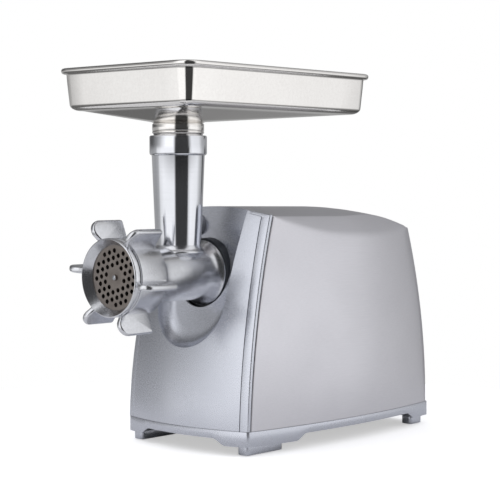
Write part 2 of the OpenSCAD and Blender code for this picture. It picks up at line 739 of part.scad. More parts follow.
module motor_cradle() {
    color("gray") difference() {
        union() {
            for (y = [84, 138]) slab_y(y, y + 6) translate([-30, seam_z]) square([60, 40]);
            translate([-34, 84, seam_z]) cube([68, 60, 3]);
        }
        on_motor(70) cylinder(h = 100, r = 46.05);
        mirror_x() for (y = [100, 128]) translate([26, y, seam_z - 1]) cylinder(h = 8, r = 2.2);
    }
}
pole_half = 58;
module sector(r, a) {
    steps = 6;
    polygon(concat([[0, 0]], [for (i = [0:steps]) let (b = -a + 2 * a * i / steps) r * [cos(b), sin(b)]]));
}
module stator_core() {
    color("slategray") slab_y(92, 132) translate(motor_c) difference() {
        circle(43.5);
        circle(24.6);
        for (a = [0, 180]) rotate(a) difference() {
            sector(50, 90 - pole_half);
            difference() {
                circle(60);
                circle(36.6);
            }
        }
    }
}
module field_windings() {
    color("chocolate") {
        for (y = [84, 132.1]) on_motor(y) tube(36, 26, 7.5);
        slab_y(91.5, 132.1) translate(motor_c) difference() {
            for (a = [0, 180]) rotate(a) sector(40, 87 - pole_half);
            circle(26);
            difference() {
                circle(60);
                circle(36);
            }
        }
    }
}
module slot_ring(r, slot_r) for (i = [0:11]) rotate(30 * i) translate([r, 0])
    circle(slot_r, $fn = 24);
module armature_core() {
    color("slategray") slab_y(92, 132) translate(motor_c) difference() {
        circle(24);
        circle(4.02);
        slot_ring(20.5, 2.1);
    }
}
module armature_windings() {
    color("chocolate") {
        for (y = [85, 132.1]) on_motor(y) tube(22.4, 7, 6.9);
        slab_y(91.8, 132.2) translate(motor_c) slot_ring(20.5, 1.8);
    }
}
module commutator() {
    color("peru") slab_y(142.5, 156) translate(motor_c) difference() {
        circle(13);
        circle(4.02);
        for (i = [0:11]) rotate(30 * i + 15) translate([12, -0.5]) square([3, 1]);
    }
}
module cooling_fan() {
    color("ivory") {
        on_motor(72) tube(8, 4.02, 11);
        on_motor(72) tube(38, 7.9, 1.8);
        for (i = [0:8]) on_motor(73.7) rotate(40 * i) translate([12, -0.8, 0]) cube([25, 1.6, 9]);
    }
}
module brush_holders() {
    color("goldenrod") slab_y(142.5, 153.5) translate(motor_c) for (side = [-1, 1])
        difference() {
            translate([side * 33.5 - 15.5, -5.5]) square([31, 11]);
            translate([side * 33.5 - 17, -4.05]) square([34, 8.1]);
        }
}
module carbon_brushes() {
    color("black") slab_y(144, 152) translate(motor_c) for (side = [-1, 1])
        difference() {
            translate([side * 23 - 12, -4]) square([24, 8]);
            circle(13.06);
        }
}

// ---- Fasteners ----
module screw(head_r, head_h, shank_r, length) {
    difference() {
        cylinder(h = head_h, r = head_r);
        translate([0, 0, -0.1]) rotate(45) cube([1, head_r * 1.3, head_h], center = true);
    }
    translate([0, 0, head_h]) cylinder(h = length, r = shank_r);
}
module case_screws() {
    color("silver") mirror_x() for (p = boss_spots) translate([p[0], p[1], cover_z - 2.35])
        screw(3.4, 2.3, 1.45, 6.8);
}
module gearbox_screws() {
    color("silver") for (p = cover_screws) rod_y(p[0], p[1], 70.4) mirror([0, 0, 1])
        screw(3.8, 2.3, 2, 7);
}

// ---- Grinding head ----
function tube_r(z) = 23.5 + (27.3 - 23.5) * (z - 211) / (306 - 211);
module head_casting() {
    feed_r_low = 20.5;
    feed_r_top = 22.8;
    color("silver") difference() {
        union() {
            on_axis(0) rotate_extrude() polygon([
                [0, plate_front_y + 0.6], [36, plate_front_y + 0.6], [36.4, plate_front_y + 1],
                [36.4, -169], [32.5, -166.4], [29.6, -161.5], [28.2, -155], [barrel_r, -147],
                [barrel_r, -93], [28.5, -88], [29.6, -84], [31.4, -80.8], [33.4, -78.4], [34, -77.8],
                [34, -76.6], [29.8, -76.4],
                [29.8, -43], [28.8, -42], [0, -42]]);
            translate([0, tube_y, axis_z]) cylinder(h = 28, r = tube_r(211));
            translate([0, tube_y, 205]) rotate_extrude() polygon(concat(
                [[0, 0], [tube_r(211) + 4.6, 0]],
                [for (a = [0:15:90]) [tube_r(211) + 4.6 * (1 - sin(a)), 8.2 - 4.6 * cos(a)]],
                [[tube_r(300), 95], [27.4, 100.4], [collar_r - 1.8, 101], [collar_r, 102.8],
                    [collar_r, collar_top - 206.8], [collar_r - 1.8, collar_top - 205],
                    [0, collar_top - 205]]));
        }
        on_axis(plate_front_y - 1) cylinder(h = plate_t + 1.1, r = plate_r + 0.1);
        on_axis(plate_front_y) cylinder(h = plate_t + knife_t + 1.2, r = 28);
        on_axis(plate_front_y) cylinder(h = -60 - plate_front_y, r = bore_r);
        on_axis(-70) cylinder(h = 40, r = 9.1);
        translate([0, tube_y, axis_z]) cylinder(h = 45, r = feed_r_low);
        translate([0, tube_y, axis_z + 44])
            cylinder(h = 306 - axis_z - 44, r1 = feed_r_low, r2 = feed_r_top);
        translate([0, tube_y, 305.4]) cylinder(h = 30, r = 25.1);
        rod_y(lock_x, lock_z, -84) cylinder(h = 7.7, r = 2.3);
        translate([0, plate_front_y, axis_z + plate_r - 0.6]) rotate([-90, 0, 0])
            cylinder(h = plate_t, r = 2.1);
    }
}
module hole_plate() {
    hub_r = 9;
    color("darkgray") on_axis(plate_front_y) linear_extrude(plate_t) difference() {
        circle(plate_r);
        circle(3.06);
        translate([0, -plate_r + 0.6]) circle(2.1);
        rotate(-18) for (i = [-4:4], j = [-4:4]) let (
                p = hole_pitch * [i + j / 2, j * sqrt(3) / 2], r = norm(p))
            if (r > hub_r && r < hole_pitch * 3.7) translate(p) circle(hole_d / 2, $fn = 20);
    }
}
module plate_key() {
    color("silver") translate([0, plate_front_y + 0.2, axis_z + plate_r - 0.6]) rotate([-90, 0, 0])
        cylinder(h = plate_t - 0.3, r = 2);
}
auger_front_y = plate_front_y + plate_t + knife_t + 0.4;
auger_rear_y = -62.2;
module auger_screw() {
    flight_r = bore_r - 0.5;
    core_r = 10;
    turns = 3.25;
    root_a = 34;
    color("silver") on_axis(auger_front_y)
        linear_extrude(auger_rear_y - auger_front_y, twist = -360 * turns, slices = 52, $fn = 4)
            union() {
                circle(core_r, $fn = 16);
                polygon(concat([[0, 0]], [for (a = [-root_a:root_a / 3:root_a]) let (
                        f = min(1, 2.2 * (1 - abs(a) / root_a)))
                    (core_r - 1 + (flight_r - core_r + 1) * f) * [cos(a), sin(a)]]));
            }
}
module auger_shaft() {
    stud_r = 3;
    color("silver") {
        on_axis(plate_front_y - 1.6) cylinder(h = 8, r = stud_r);
        on_axis(plate_front_y + plate_t + 0.1) translate([-4.8, -4.8, 0])
            cube([9.6, 9.6, auger_front_y - plate_front_y - plate_t - 0.1]);
        on_axis(auger_rear_y) cylinder(h = 20.2, r = 9);
        on_axis(-42.2) rotate(30) cylinder(h = 27, r = 7.3, $fn = 6);
    }
}
module thrust_washer() {
    color("white") on_axis(auger_rear_y + 0.05) tube(20, 9.05, 2);
}
module knife() {
    blade_l = 26.5;
    color("silver") on_axis(plate_front_y + plate_t + 0.15) linear_extrude(knife_t - 0.2) difference() {
        union() {
            circle(11);
            for (a = [0:90:270]) rotate(a) polygon([[6, -5], [blade_l - 5, -6.5], [blade_l, -2.5],
                [blade_l - 1, 3.5], [11, 5.5], [6, 6]]);
        }
        square(9.7, center = true);
    }
}
wing_count = 6;
wing_start = -8;
module wing_profile() {
    corner = 11;
    rear = ring_rear_y - 5;
    polygon(concat([[37.5, rear], [37.5, ring_front_y + 7], [ring_r - 1, ring_front_y + 3],
            [wing_r - corner - 7, wing_front_y + 3.4], [wing_r - corner - 3.5, wing_front_y + 0.9]],
        [for (a = [0:15:90])
            [wing_r - corner + corner * sin(a), wing_front_y + corner * (1 - cos(a))]],
        [[wing_r, rear - 2.5], [wing_r - 0.8, rear - 0.7], [wing_r - 2.5, rear]]));
}
module screw_ring() {
    wing_t = 6;
    color("silver") difference() {
        union() {
            on_axis(0) rotate_extrude() polygon([
                [32.5, plate_front_y - 0.1], [38.2, ring_front_y], [ring_r, ring_front_y + 1.2],
                [ring_r - 0.6, ring_front_y + 5], [ring_r - 1.4, ring_front_y + 6.2],
                [ring_r - 1.4, ring_front_y + 8], [ring_r, ring_front_y + 9.4],
                [ring_r, ring_rear_y - 1], [ring_r - 1, ring_rear_y], [36.6, ring_rear_y],
                [36.6, plate_front_y + 0.5], [34.2, plate_front_y - 0.1]]);
            for (i = [0:wing_count - 1]) translate([0, 0, axis_z])
                rotate([0, -wing_start - 360 * i / wing_count, 0])
                    translate([0, 0, -wing_t / 2]) linear_extrude(wing_t) wing_profile();
        }
        on_axis(plate_front_y - 0.1) cylinder(h = 60, r = 36.6);
        on_axis(0) rotate_extrude() polygon([[0, ring_front_y - 5], [41.3, ring_front_y - 5],
            [32.5, plate_front_y - 0.1], [32.5, plate_front_y + 1], [0, plate_front_y + 1]]);
    }
}

// ---- Tray ----
neck_r = 26.7;
function rounded_ring(w, l, r, z, n) = [for (i = [0:n - 1]) let (
        q = floor(4 * i / n), a = 90 * q + 90 * ((i % (n / 4)) / (n / 4 - 1)),
        sx = (q == 0 || q == 3) ? 1 : -1, sy = (q < 2) ? 1 : -1)
    [sx * (w / 2 - r) + r * cos(a), sy * (l / 2 - r) + r * sin(a), z]];
tray_offset_y = 61.2;
function round_ring(r, z, n) = [for (i = [0:n - 1]) let (
        q = floor(4 * i / n), a = 90 * q + 90 * ((i % (n / 4)) / (n / 4 - 1)),
        b = 90 * q + 45 + (a - 90 * q - 45) * 0.92)
    [r * cos(b), r * sin(b) - tray_offset_y, z]];
module feed_tray() {
    n = 40;
    sheet = 1.2;
    wall_in = 5.6;
    draft = 3;
    w = tray_w - 2 * wall_in;
    l = tray_l - 2 * wall_in;
    corner = 20.3;
    throat_r = 24;
    outer = [for (f = [0, 0.35, 0.7, 1]) let (a = 90 * f, k = 12)
        rounded_ring(w - 2 * draft - 2 * k * (1 - sin(a)), l - 2 * draft - 2 * k * (1 - sin(a)),
            corner - 4, floor_z + 6 * (1 - cos(a)), n)];
    rings = concat(
        [round_ring(throat_r + 1.2, 338.4, n)],
        outer,
        [rounded_ring(w, l, corner - wall_in, rim_z - 5, n),
            rounded_ring(tray_w - 1.6, tray_l - 1.6, corner - 0.8, rim_z - 5, n),
            rounded_ring(tray_w, tray_l, corner, rim_z - 3.8, n),
            rounded_ring(tray_w, tray_l, corner, rim_z - 1.2, n),
            rounded_ring(tray_w - 2, tray_l - 2, corner - 1, rim_z, n),
            rounded_ring(w + 1, l + 1, corner - wall_in, rim_z, n),
            rounded_ring(w - 2 * sheet, l - 2 * sheet, corner - wall_in - sheet, rim_z - 1.6, n)],
        [for (i = [3:-1:0]) [for (p = outer[i])
            [p[0] * (1 - 2 * sheet / w), p[1] * (1 - 2 * sheet / l), p[2] + sheet]]],
        [round_ring(throat_r, 339.8, n)]);
    count = len(rings);
    color("silver") translate([0, tube_y + tray_offset_y, 0]) polyhedron([for (g = rings) each g],
        [for (j = [0:count - 1], i = [0:n - 1]) let (
            a = j * n + i, b = j * n + (i + 1) % n, c = ((j + 1) % count) * n + (i + 1) % n,
            d = ((j + 1) % count) * n + i) each quads(a, b, c, d)]);
}
module tray_neck() {
    color("silver") translate([0, tube_y, 0]) rotate_extrude() polygon([
        [22.9, 306.4], [24.9, 306.4], [25, 307], [25, collar_top + 0.1], [25.6, collar_top + 1.8],
        [neck_r - 0.4, collar_top + 2.2], [neck_r, collar_top + 2.8], [neck_r, 329.4], [neck_r - 0.5, 330],
        [neck_r, 330.6], [neck_r, 337.4], [neck_r - 0.8, 338.2], [22.9, 338.2]]);
}

base_skirt();
bottom_cover();
feet();
foot_pads();
housing_shell();
trim_frame();
front_cover();
head_socket();
rear_grille();
cord_gland();
switch_panel();
switch_case();
control_board();
gearbox_case();
gearbox_cover();
output_bushes();
layshaft_bushes();
motor_can();
motor_end_cap();
motor_cradle();
stator_core();
field_windings();
rotor_bearings();
brush_holders();
carbon_brushes();
case_screws();
gearbox_screws();
release_spring();
reverse_spring();
drive_coupler();
output_gear();
layshaft_b();
gear_b();
layshaft_a();
gear_a();
motor_shaft();
armature_core();
armature_windings();
commutator();
cooling_fan();
head_casting();
hole_plate();
plate_key();
auger_screw();
auger_shaft();
thrust_washer();
knife();
screw_ring();
feed_tray();
tray_neck();
release_button();
lock_pin();
power_rocker();
reverse_button();
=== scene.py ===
"""Dresses the electric meat grinder: body shells, grinding head, screw ring, tray and controls.

Sizes are millimetres and each finished mesh is in metres. X runs across the body, -Y is the
outlet end and Z = 0 is the table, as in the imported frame.
"""

from __future__ import annotations

import logging
import math
from contextlib import contextmanager
from dataclasses import dataclass, field
from enum import Enum
from typing import Iterator, Sequence

import bmesh
import bpy
from mathutils import Matrix, Vector

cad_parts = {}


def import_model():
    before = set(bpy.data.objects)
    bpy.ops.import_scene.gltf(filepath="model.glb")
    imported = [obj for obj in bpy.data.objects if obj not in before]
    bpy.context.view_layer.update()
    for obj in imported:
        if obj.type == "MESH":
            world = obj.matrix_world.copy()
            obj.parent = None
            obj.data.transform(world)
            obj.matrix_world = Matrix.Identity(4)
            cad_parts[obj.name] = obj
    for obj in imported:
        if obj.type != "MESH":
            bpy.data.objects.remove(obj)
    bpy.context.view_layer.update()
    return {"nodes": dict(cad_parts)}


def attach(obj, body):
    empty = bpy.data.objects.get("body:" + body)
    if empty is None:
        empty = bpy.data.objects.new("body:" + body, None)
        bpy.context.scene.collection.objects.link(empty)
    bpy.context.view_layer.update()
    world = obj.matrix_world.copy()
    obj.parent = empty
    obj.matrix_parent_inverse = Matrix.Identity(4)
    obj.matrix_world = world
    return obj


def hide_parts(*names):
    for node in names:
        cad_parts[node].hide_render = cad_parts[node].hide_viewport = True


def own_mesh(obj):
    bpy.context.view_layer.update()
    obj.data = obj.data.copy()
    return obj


LOG = logging.getLogger("grinder")

Flat = tuple[float, float]
Point = tuple[float, float, float]
Piece = bpy.types.Object
Tree = bpy.types.NodeTree
Node = bpy.types.Node
Output = tuple[Node, int | str]

MM = 0.001
# Points closer than this are merged, in millimetres.
MERGE = 0.001
# The barrel's axis, the feed tube's axis, the hole plate's front face and the tray's seat.
AXIS_Z = 183.0
TUBE_Y = -112.0
PLATE_Y = -201.3
COLLAR_TOP = 325.6
BUTTON_R = 11.0
ON_BARREL: Point = (0.0, 0.0, AXIS_Z)
ON_TUBE: Point = (0.0, TUBE_Y, 0.0)
ON_BUTTON: Point = (-20.0, 0.0, 232.0)
# Where the switch panel lies on the bulged left side.
PANEL_PLACE = (Matrix.Translation((-93.5, 0, 165)) @ Matrix.Rotation(math.radians(5.2), 4, "Z")
               @ Matrix.Rotation(math.radians(3.8), 4, "Y"))


# ---- Points and lines ----

def cosd(angle: float) -> float:
    """Cosine of an angle in degrees."""
    return math.cos(math.radians(angle))


def sind(angle: float) -> float:
    """Sine of an angle in degrees."""
    return math.sin(math.radians(angle))


def spaced(start: float, stop: float, count: int) -> list[float]:
    """Evenly spaced values, both ends included."""
    return [start + (stop - start) * i / (count - 1) for i in range(count)]


def between(start: Sequence[float], stop: Sequence[float], share: float) -> tuple[float, ...]:
    """The point a share of the way from one point to another."""
    return tuple(a + (b - a) * share for a, b in zip(start, stop))


def arc(centre: Flat, radius: float, start: float, stop: float, count: int) -> list[Flat]:
    """Points on a circular arc, angles in degrees."""
    return [(centre[0] + radius * cosd(a), centre[1] + radius * sind(a))
            for a in spaced(start, stop, count)]


def soft_corner(before: Flat, corner: Flat, after: Flat) -> list[Flat]:
    """A corner softened by a short parabola of five points."""
    return [tuple((1 - s) ** 2 * a + 2 * s * (1 - s) * c + s * s * b
                  for a, c, b in zip(before, corner, after)) for s in spaced(0, 1, 5)]


def rounded_rect(width: float, length: float, radius: float, corner_n: int = 9,
                 side_n: int = 7) -> list[Flat]:
    """A centred rectangle with round corners, anticlockwise from the rear end of its right side.

    Args:
        width: its size along X.
        length: its size along Y.
        radius: the corner radius.
        corner_n: points on each corner.
        side_n: points between two corners.

    Returns:
        The outline's points; four quadrants of equal count.
    """
    x, y = width / 2 - radius, length / 2 - radius
    corners = [arc(centre, radius, 90 * k, 90 * k + 90, corner_n)
               for k, centre in enumerate(((x, y), (-x, y), (-x, -y), (x, -y)))]
    outline: list[Flat] = []
    for corner, following in zip(corners, corners[1:] + corners[:1]):
        outline += corner + [between(corner[-1], following[0], f) for f in spaced(0, 1, side_n + 2)[1:-1]]
    return outline


# ---- Finishes ----

def srgb(colour: str) -> tuple[float, float, float, float]:
    """Turns an sRGB hex value to linear.

    Args:
        colour: six hex digits after a hash sign.

    Returns:
        The linear red, green and blue, and an alpha of one.
    """
    parts = [int(colour[i:i + 2], 16) / 255 for i in (1, 3, 5)]
    linear = [c / 12.92 if c <= 0.04045 else ((c + 0.055) / 1.055) ** 2.4 for c in parts]
    return (linear[0], linear[1], linear[2], 1.0)


def add(tree: Tree, kind: str, sockets: dict | None = None, **settings: object) -> Node:
    """Adds a node with its settings and links.

    Args:
        tree: the node tree that gets the node.
        kind: the node's type name after ShaderNode.
        sockets: input name or number to a value, or to a (node, output) pair that is linked.
        settings: the node's own properties.

    Returns:
        The new node.
    """
    node = tree.nodes.new("ShaderNode" + kind)
    for key, value in settings.items():
        setattr(node, key, value)
    for key, value in (sockets or {}).items():
        if isinstance(value, tuple) and isinstance(value[0], Node):
            tree.links.new(value[0].outputs[value[1]], node.inputs[key])
        else:
            node.inputs[key].default_value = value
    return node


def emptied(owner: bpy.types.Material | bpy.types.World) -> Tree:
    """Turns on a material's or world's nodes and removes the ones it comes with.

    Args:
        owner: the material or world.

    Returns:
        Its empty node tree.
    """
    owner.use_nodes = True
    owner.node_tree.nodes.clear()
    return owner.node_tree


def mapped(tree: Tree, value: Output, start: float, stop: float, low: float = 0.0,
           high: float = 1.0) -> Output:
    """Adds a node that maps the range from start to stop onto the one from low to high."""
    return add(tree, "MapRange", {
        "Value": value, "From Min": start, "From Max": stop, "To Min": low, "To Max": high}), 0


class Grain(Enum):
    """The direction of a surface's fine texture, which comes from how it was made."""

    EVEN = "cast or moulded"
    ALONG_Y = "brushed along Y"
    ALONG_X = "brushed along X"
    ABOUT_Y = "turned about Y"
    ABOUT_Z = "turned about Z"


# A brushed grain is this many times longer than wide.
GRAIN_RUN = 60
# Two noises added together mostly stay in this range.
NOISE_LOW, NOISE_HIGH = 0.6, 1.4
COAT_ROUGH = 0.12


@dataclass(frozen=True)
class Finish:
    """One real finish, made a procedural material once."""

    name: str
    colour: str
    shade: str
    metallic: float
    rough: float
    rough_spread: float
    grain_mm: float
    bump_mm: float
    grain: Grain = Grain.EVEN
    cloud_mm: float = 45.0
    coat: float = 0.0
    centre: Point = (0.0, 0.0, 0.0)
    smear: float = 0.0

    def _coordinates(self, tree: Tree) -> Output:
        """Lays the grain's direction over Object coordinates.

        Args:
            tree: the material's node tree.

        Returns:
            The node and output that give one unit for each grain.
        """
        fine = 1 / (self.grain_mm * MM)
        stretch = {Grain.ALONG_Y: (fine, fine / GRAIN_RUN, fine),
                   Grain.ALONG_X: (fine / GRAIN_RUN, fine, fine)}.get(self.grain, (fine, fine, fine))
        place = add(tree, "TexCoord")
        spot = add(tree, "Mapping", {
            "Vector": (place, "Object"), "Location": [-c * MM for c in self.centre]})
        if self.grain in (Grain.ABOUT_Y, Grain.ABOUT_Z):
            flat, level = ((1, 0, 1), (0, 1, 0)) if self.grain is Grain.ABOUT_Y else ((1, 1, 0), (0, 0, 1))
            across = add(tree, "VectorMath", {0: (spot, 0), 1: flat}, operation="MULTIPLY")
            radius = add(tree, "VectorMath", {0: (across, 0)}, operation="LENGTH")
            height = add(tree, "VectorMath", {0: (spot, 0), 1: level}, operation="DOT_PRODUCT")
            spot = add(tree, "CombineXYZ", {0: (radius, "Value"), 1: (height, "Value")})
        return add(tree, "Mapping", {"Vector": (spot, 0), "Scale": stretch}), "Vector"

    def material(self) -> bpy.types.Material:
        """Makes the material, or finds it if it was made before.

        Returns:
            The material, with colour clouds, uneven roughness and bump from its own nodes.
        """
        known = bpy.data.materials.get(self.name)
        if known:
            return known
        made = bpy.data.materials.new(self.name)
        tree = emptied(made)
        grain = add(tree, "TexNoise", {
            "Vector": self._coordinates(tree), "Scale": 1.0, "Detail": 3.0, "Roughness": 0.6})
        place = add(tree, "TexCoord")
        cloud = add(tree, "TexNoise", {
            "Vector": (place, "Object"), "Scale": 1 / (self.cloud_mm * MM), "Detail": 2.0})
        both = add(tree, "Math", {0: (grain, "Fac"), 1: (cloud, "Fac")}, operation="ADD"), 0
        colour = add(tree, "Mix", {
            "Factor": mapped(tree, both, NOISE_LOW, NOISE_HIGH), 6: srgb(self.colour), 7: srgb(self.shade)},
            data_type="RGBA")
        rough = mapped(tree, both, NOISE_LOW, NOISE_HIGH,
                       self.rough - self.rough_spread, self.rough + self.rough_spread)
        bump = add(tree, "Bump", {
            "Height": (grain, "Fac"), "Strength": 1.0, "Distance": self.bump_mm * MM})
        shader = add(tree, "BsdfPrincipled", {
            "Base Color": (colour, 2), "Metallic": self.metallic, "Roughness": rough,
            "Normal": (bump, 0), "Coat Weight": self.coat, "Coat Roughness": COAT_ROUGH,
            "Anisotropic": self.smear})
        if self.smear:
            smeared = {Grain.ABOUT_Z: (0, 0, 1), Grain.ABOUT_Y: (0, 1, 0)}.get(self.grain, (1, 0, 1))
            way = add(tree, "CombineXYZ", dict(enumerate(smeared)))
            tree.links.new(way.outputs[0], shader.inputs["Tangent"])
        add(tree, "OutputMaterial", {"Surface": (shader, 0)})
        return made


# Tumbled and polished cast aluminium: soft cloudy reflections.
CAST_ALUMINIUM = Finish("cast_aluminium_satin", "#DCDDE1", "#CBCCD0", 1.0, 0.24, 0.05, 2.2, 0.012,
                        cloud_mm=26)
# The feed tube is turned and buffed, so its reflections run in straight clean stripes.
TURNED_ALUMINIUM = Finish("turned_aluminium_buffed", "#E2E3E8", "#D6D8DC", 1.0, 0.12, 0.02, 0.9, 0.003,
                          grain=Grain.ABOUT_Z, cloud_mm=60, centre=ON_TUBE, smear=0.6)
# Deep-drawn sheet, mirror polished: warm and very smooth.
MIRROR_STAINLESS = Finish("stainless_sheet_mirror", "#EFEDEA", "#E6E3E0", 1.0, 0.10, 0.03, 3.0, 0.002,
                          cloud_mm=70)
# Brushed skin under a clear lacquer: light grey, broad highlight.
BRUSHED_SKIN = Finish("stainless_skin_brushed", "#D6D5DA", "#CCCBD0", 0.92, 0.36, 0.04, 0.5, 0.006,
                      grain=Grain.ALONG_Y, cloud_mm=90, smear=0.5)
# Metallic lacquer on ABS: bluish, satin.
SILVER_LACQUER = Finish("abs_silver_lacquer", "#D0D2DA", "#C7CAD3", 0.87, 0.27, 0.03, 0.6, 0.004,
                        cloud_mm=80, coat=0.1)
# Blanchard-ground: warm grey with fine curved scratches.
GROUND_STEEL = Finish("carbon_steel_ground", "#8C8580", "#79726D", 1.0, 0.38, 0.08, 0.5, 0.02,
                      grain=Grain.ABOUT_Y, cloud_mm=12, centre=ON_BARREL)
MACHINED_STEEL = Finish("steel_machined", "#A9ABAF", "#96989C", 1.0, 0.30, 0.06, 0.6, 0.01,
                        grain=Grain.ABOUT_Y, cloud_mm=20, centre=ON_BARREL)
DIE_CAST = Finish("alloy_die_cast", "#8F9195", "#7E8084", 0.9, 0.48, 0.06, 1.2, 0.03)
# Spark-eroded tool surface, as moulded.
BLACK_ABS = Finish("abs_black_moulded", "#1B1C1F", "#232427", 0.0, 0.46, 0.06, 0.8, 0.02)
BLACK_GLOSS = Finish("abs_black_polished", "#131416", "#191A1D", 0.0, 0.22, 0.04, 0.8, 0.004)
DARK_NYLON = Finish("nylon_dark_filled", "#24272C", "#2C3036", 0.0, 0.42, 0.06, 0.7, 0.015)
NATURAL_NYLON = Finish("nylon_natural", "#E2DFD2", "#D5D1C2", 0.0, 0.45, 0.05, 0.9, 0.01)
SOFT_RUBBER = Finish("rubber_soft", "#17171A", "#202023", 0.0, 0.75, 0.08, 0.7, 0.03)
SINTERED_BRONZE = Finish("bronze_sintered", "#B08958", "#9A7546", 1.0, 0.42, 0.08, 0.7, 0.02)
COPPER_WINDING = Finish("copper_enamelled", "#A4552A", "#7F3C1B", 0.7, 0.34, 0.06, 0.7, 0.12,
                        grain=Grain.ALONG_X)
LAMINATED_STEEL = Finish("steel_laminated", "#6F7276", "#5D6064", 0.9, 0.5, 0.06, 0.6, 0.05,
                         grain=Grain.ALONG_X)
PRESSED_CARBON = Finish("carbon_pressed", "#1D1D1E", "#28282A", 0.1, 0.6, 0.08, 0.6, 0.02)
SOLDER_MASK = Finish("epoxy_solder_mask", "#1F5A38", "#1A4C30", 0.0, 0.35, 0.05, 1.0, 0.01)


# ---- Workshop: edit-mode operators on one mesh, in millimetres ----

class Axis(Enum):
    """The axis that a turned piece is turned about, as a turn from Z."""

    Y = Matrix.Rotation(math.radians(-90), 4, "X")
    Z = Matrix.Identity(4)


def take(piece: Piece) -> None:
    """Selects one object alone, because an operator acts on all that is selected.

    Args:
        piece: the object.
    """
    bpy.ops.object.select_all(action="DESELECT")
    piece.select_set(True)
    bpy.context.view_layer.objects.active = piece


@contextmanager
def editing(piece: Piece, mode: str = "VERT") -> Iterator[None]:
    """Opens a piece in edit mode with all of it selected, and closes it again.

    Args:
        piece: the object to edit.
        mode: VERT, EDGE or FACE.

    Yields:
        Nothing; the operators act on the open mesh.
    """
    take(piece)
    bpy.ops.object.mode_set(mode="EDIT")
    bpy.ops.mesh.select_mode(type=mode)
    bpy.ops.mesh.select_all(action="SELECT")
    yield
    bpy.ops.object.mode_set(mode="OBJECT")


def tidy_mesh(piece: Piece) -> Piece:
    """Merges doubles and turns every face outwards, judged by the sign of the volume.

    Args:
        piece: the mesh to tidy.

    Returns:
        The same piece.
    """
    with editing(piece):
        bpy.ops.mesh.remove_doubles(threshold=MERGE)
        bpy.ops.mesh.normals_make_consistent(inside=False)
    shape = bmesh.new()
    shape.from_mesh(piece.data)
    inside_out = shape.calc_volume(signed=True) < 0
    shape.free()
    if inside_out:
        with editing(piece):
            bpy.ops.mesh.flip_normals()
    return piece


def drawn_line(points: Sequence[Point], closed: bool = False) -> Piece:
    """Draws a chain of edges by extruding one vertex from point to point.

    Args:
        points: the corners in order.
        closed: whether the chain is joined up and filled.

    Returns:
        The new object.
    """
    bpy.ops.mesh.primitive_plane_add(size=1)
    piece = bpy.context.object
    with editing(piece):
        bpy.ops.mesh.merge(type="CENTER")
        bpy.ops.transform.translate(value=points[0])
        for start, stop in zip(points, points[1:]):
            step = Vector(stop) - Vector(start)
            bpy.ops.mesh.extrude_vertices_move(TRANSFORM_OT_translate={"value": step})
        if closed:
            bpy.ops.mesh.select_all(action="SELECT")
            bpy.ops.mesh.edge_face_add()
    return piece


def turned(profile: Sequence[Flat], centre: Point = ON_BARREL, sides: int = 128,
           axis: Axis = Axis.Y, looped: bool = False) -> Piece:
    """Turns a piece on a lathe: a profile drawn point by point, then spun once round.

    Args:
        profile: (radius, height) pairs in order.
        centre: where the axis passes, and where height zero lies.
        sides: steps in the full turn.
        axis: the axis of the lathe.
        looped: whether the profile closes on itself; otherwise both ends lie on the axis.

    Returns:
        The turned object.
    """
    chain = list(profile) + ([profile[0]] if looped else [])
    piece = drawn_line([(r, 0.0, h) for r, h in chain])
    with editing(piece):
        bpy.ops.mesh.spin(steps=sides, angle=math.tau, center=(0, 0, 0), axis=(0, 0, 1))
    piece.data.transform(Matrix.Translation(centre) @ axis.value)
    return tidy_mesh(piece)


def bore(radius: float, start: float, stop: float, centre: Point = ON_BARREL, sides: int = 128,
         axis: Axis = Axis.Y) -> Piece:
    """A round cutting tool from one height on its axis to another."""
    return turned([(0, start), (radius, start), (radius, stop), (0, stop)], centre, sides, axis)


def thickened(piece: Piece, along: Point) -> Piece:
    """Extrudes all of a sheet's faces into a solid.

    Args:
        piece: the sheet.
        along: the extrusion's direction and length.

    Returns:
        The same piece, now closed.
    """
    with editing(piece, "FACE"):
        bpy.ops.mesh.extrude_region_move(TRANSFORM_OT_translate={"value": along})
    return tidy_mesh(piece)


def extruded(outline: Sequence[Point], along: Point) -> Piece:
    """Fills a drawn outline on one plane and extrudes it."""
    return thickened(drawn_line(outline, closed=True), along)


def pressed(rows: Sequence[Sequence[Point]], cap_ends: bool = False) -> Piece:
    """Presses a flat grid to shape: row by row, each vertex goes to its place on the form.

    Args:
        rows: the places, row by row; rows or ends that meet are merged.
        cap_ends: whether holes that stay open are filled.

    Returns:
        The pressed sheet or closed solid.
    """
    bpy.ops.mesh.primitive_grid_add(x_subdivisions=len(rows[0]) - 1, y_subdivisions=len(rows) - 1, size=1)
    piece = bpy.context.object
    piece.data.vertices.foreach_set("co", [c for row in rows for point in row for c in point])
    piece.data.update()
    if cap_ends:
        with editing(piece):
            bpy.ops.mesh.remove_doubles(threshold=MERGE)
            bpy.ops.mesh.fill_holes(sides=0)
    return tidy_mesh(piece)


def boxed(low: Point, high: Point, round_mm: float = 0.0) -> Piece:
    """Adds a box between two corners.

    Args:
        low: the lowest corner.
        high: the highest corner.
        round_mm: how far its edges are rounded.

    Returns:
        The new box.
    """
    bpy.ops.mesh.primitive_cube_add(size=1)
    piece = bpy.context.object
    with editing(piece, "EDGE"):
        bpy.ops.transform.resize(value=Vector(high) - Vector(low))
        bpy.ops.transform.translate(value=(Vector(low) + Vector(high)) / 2)
        if round_mm:
            bpy.ops.mesh.bevel(offset=round_mm, segments=2, affect="EDGES")
    return piece


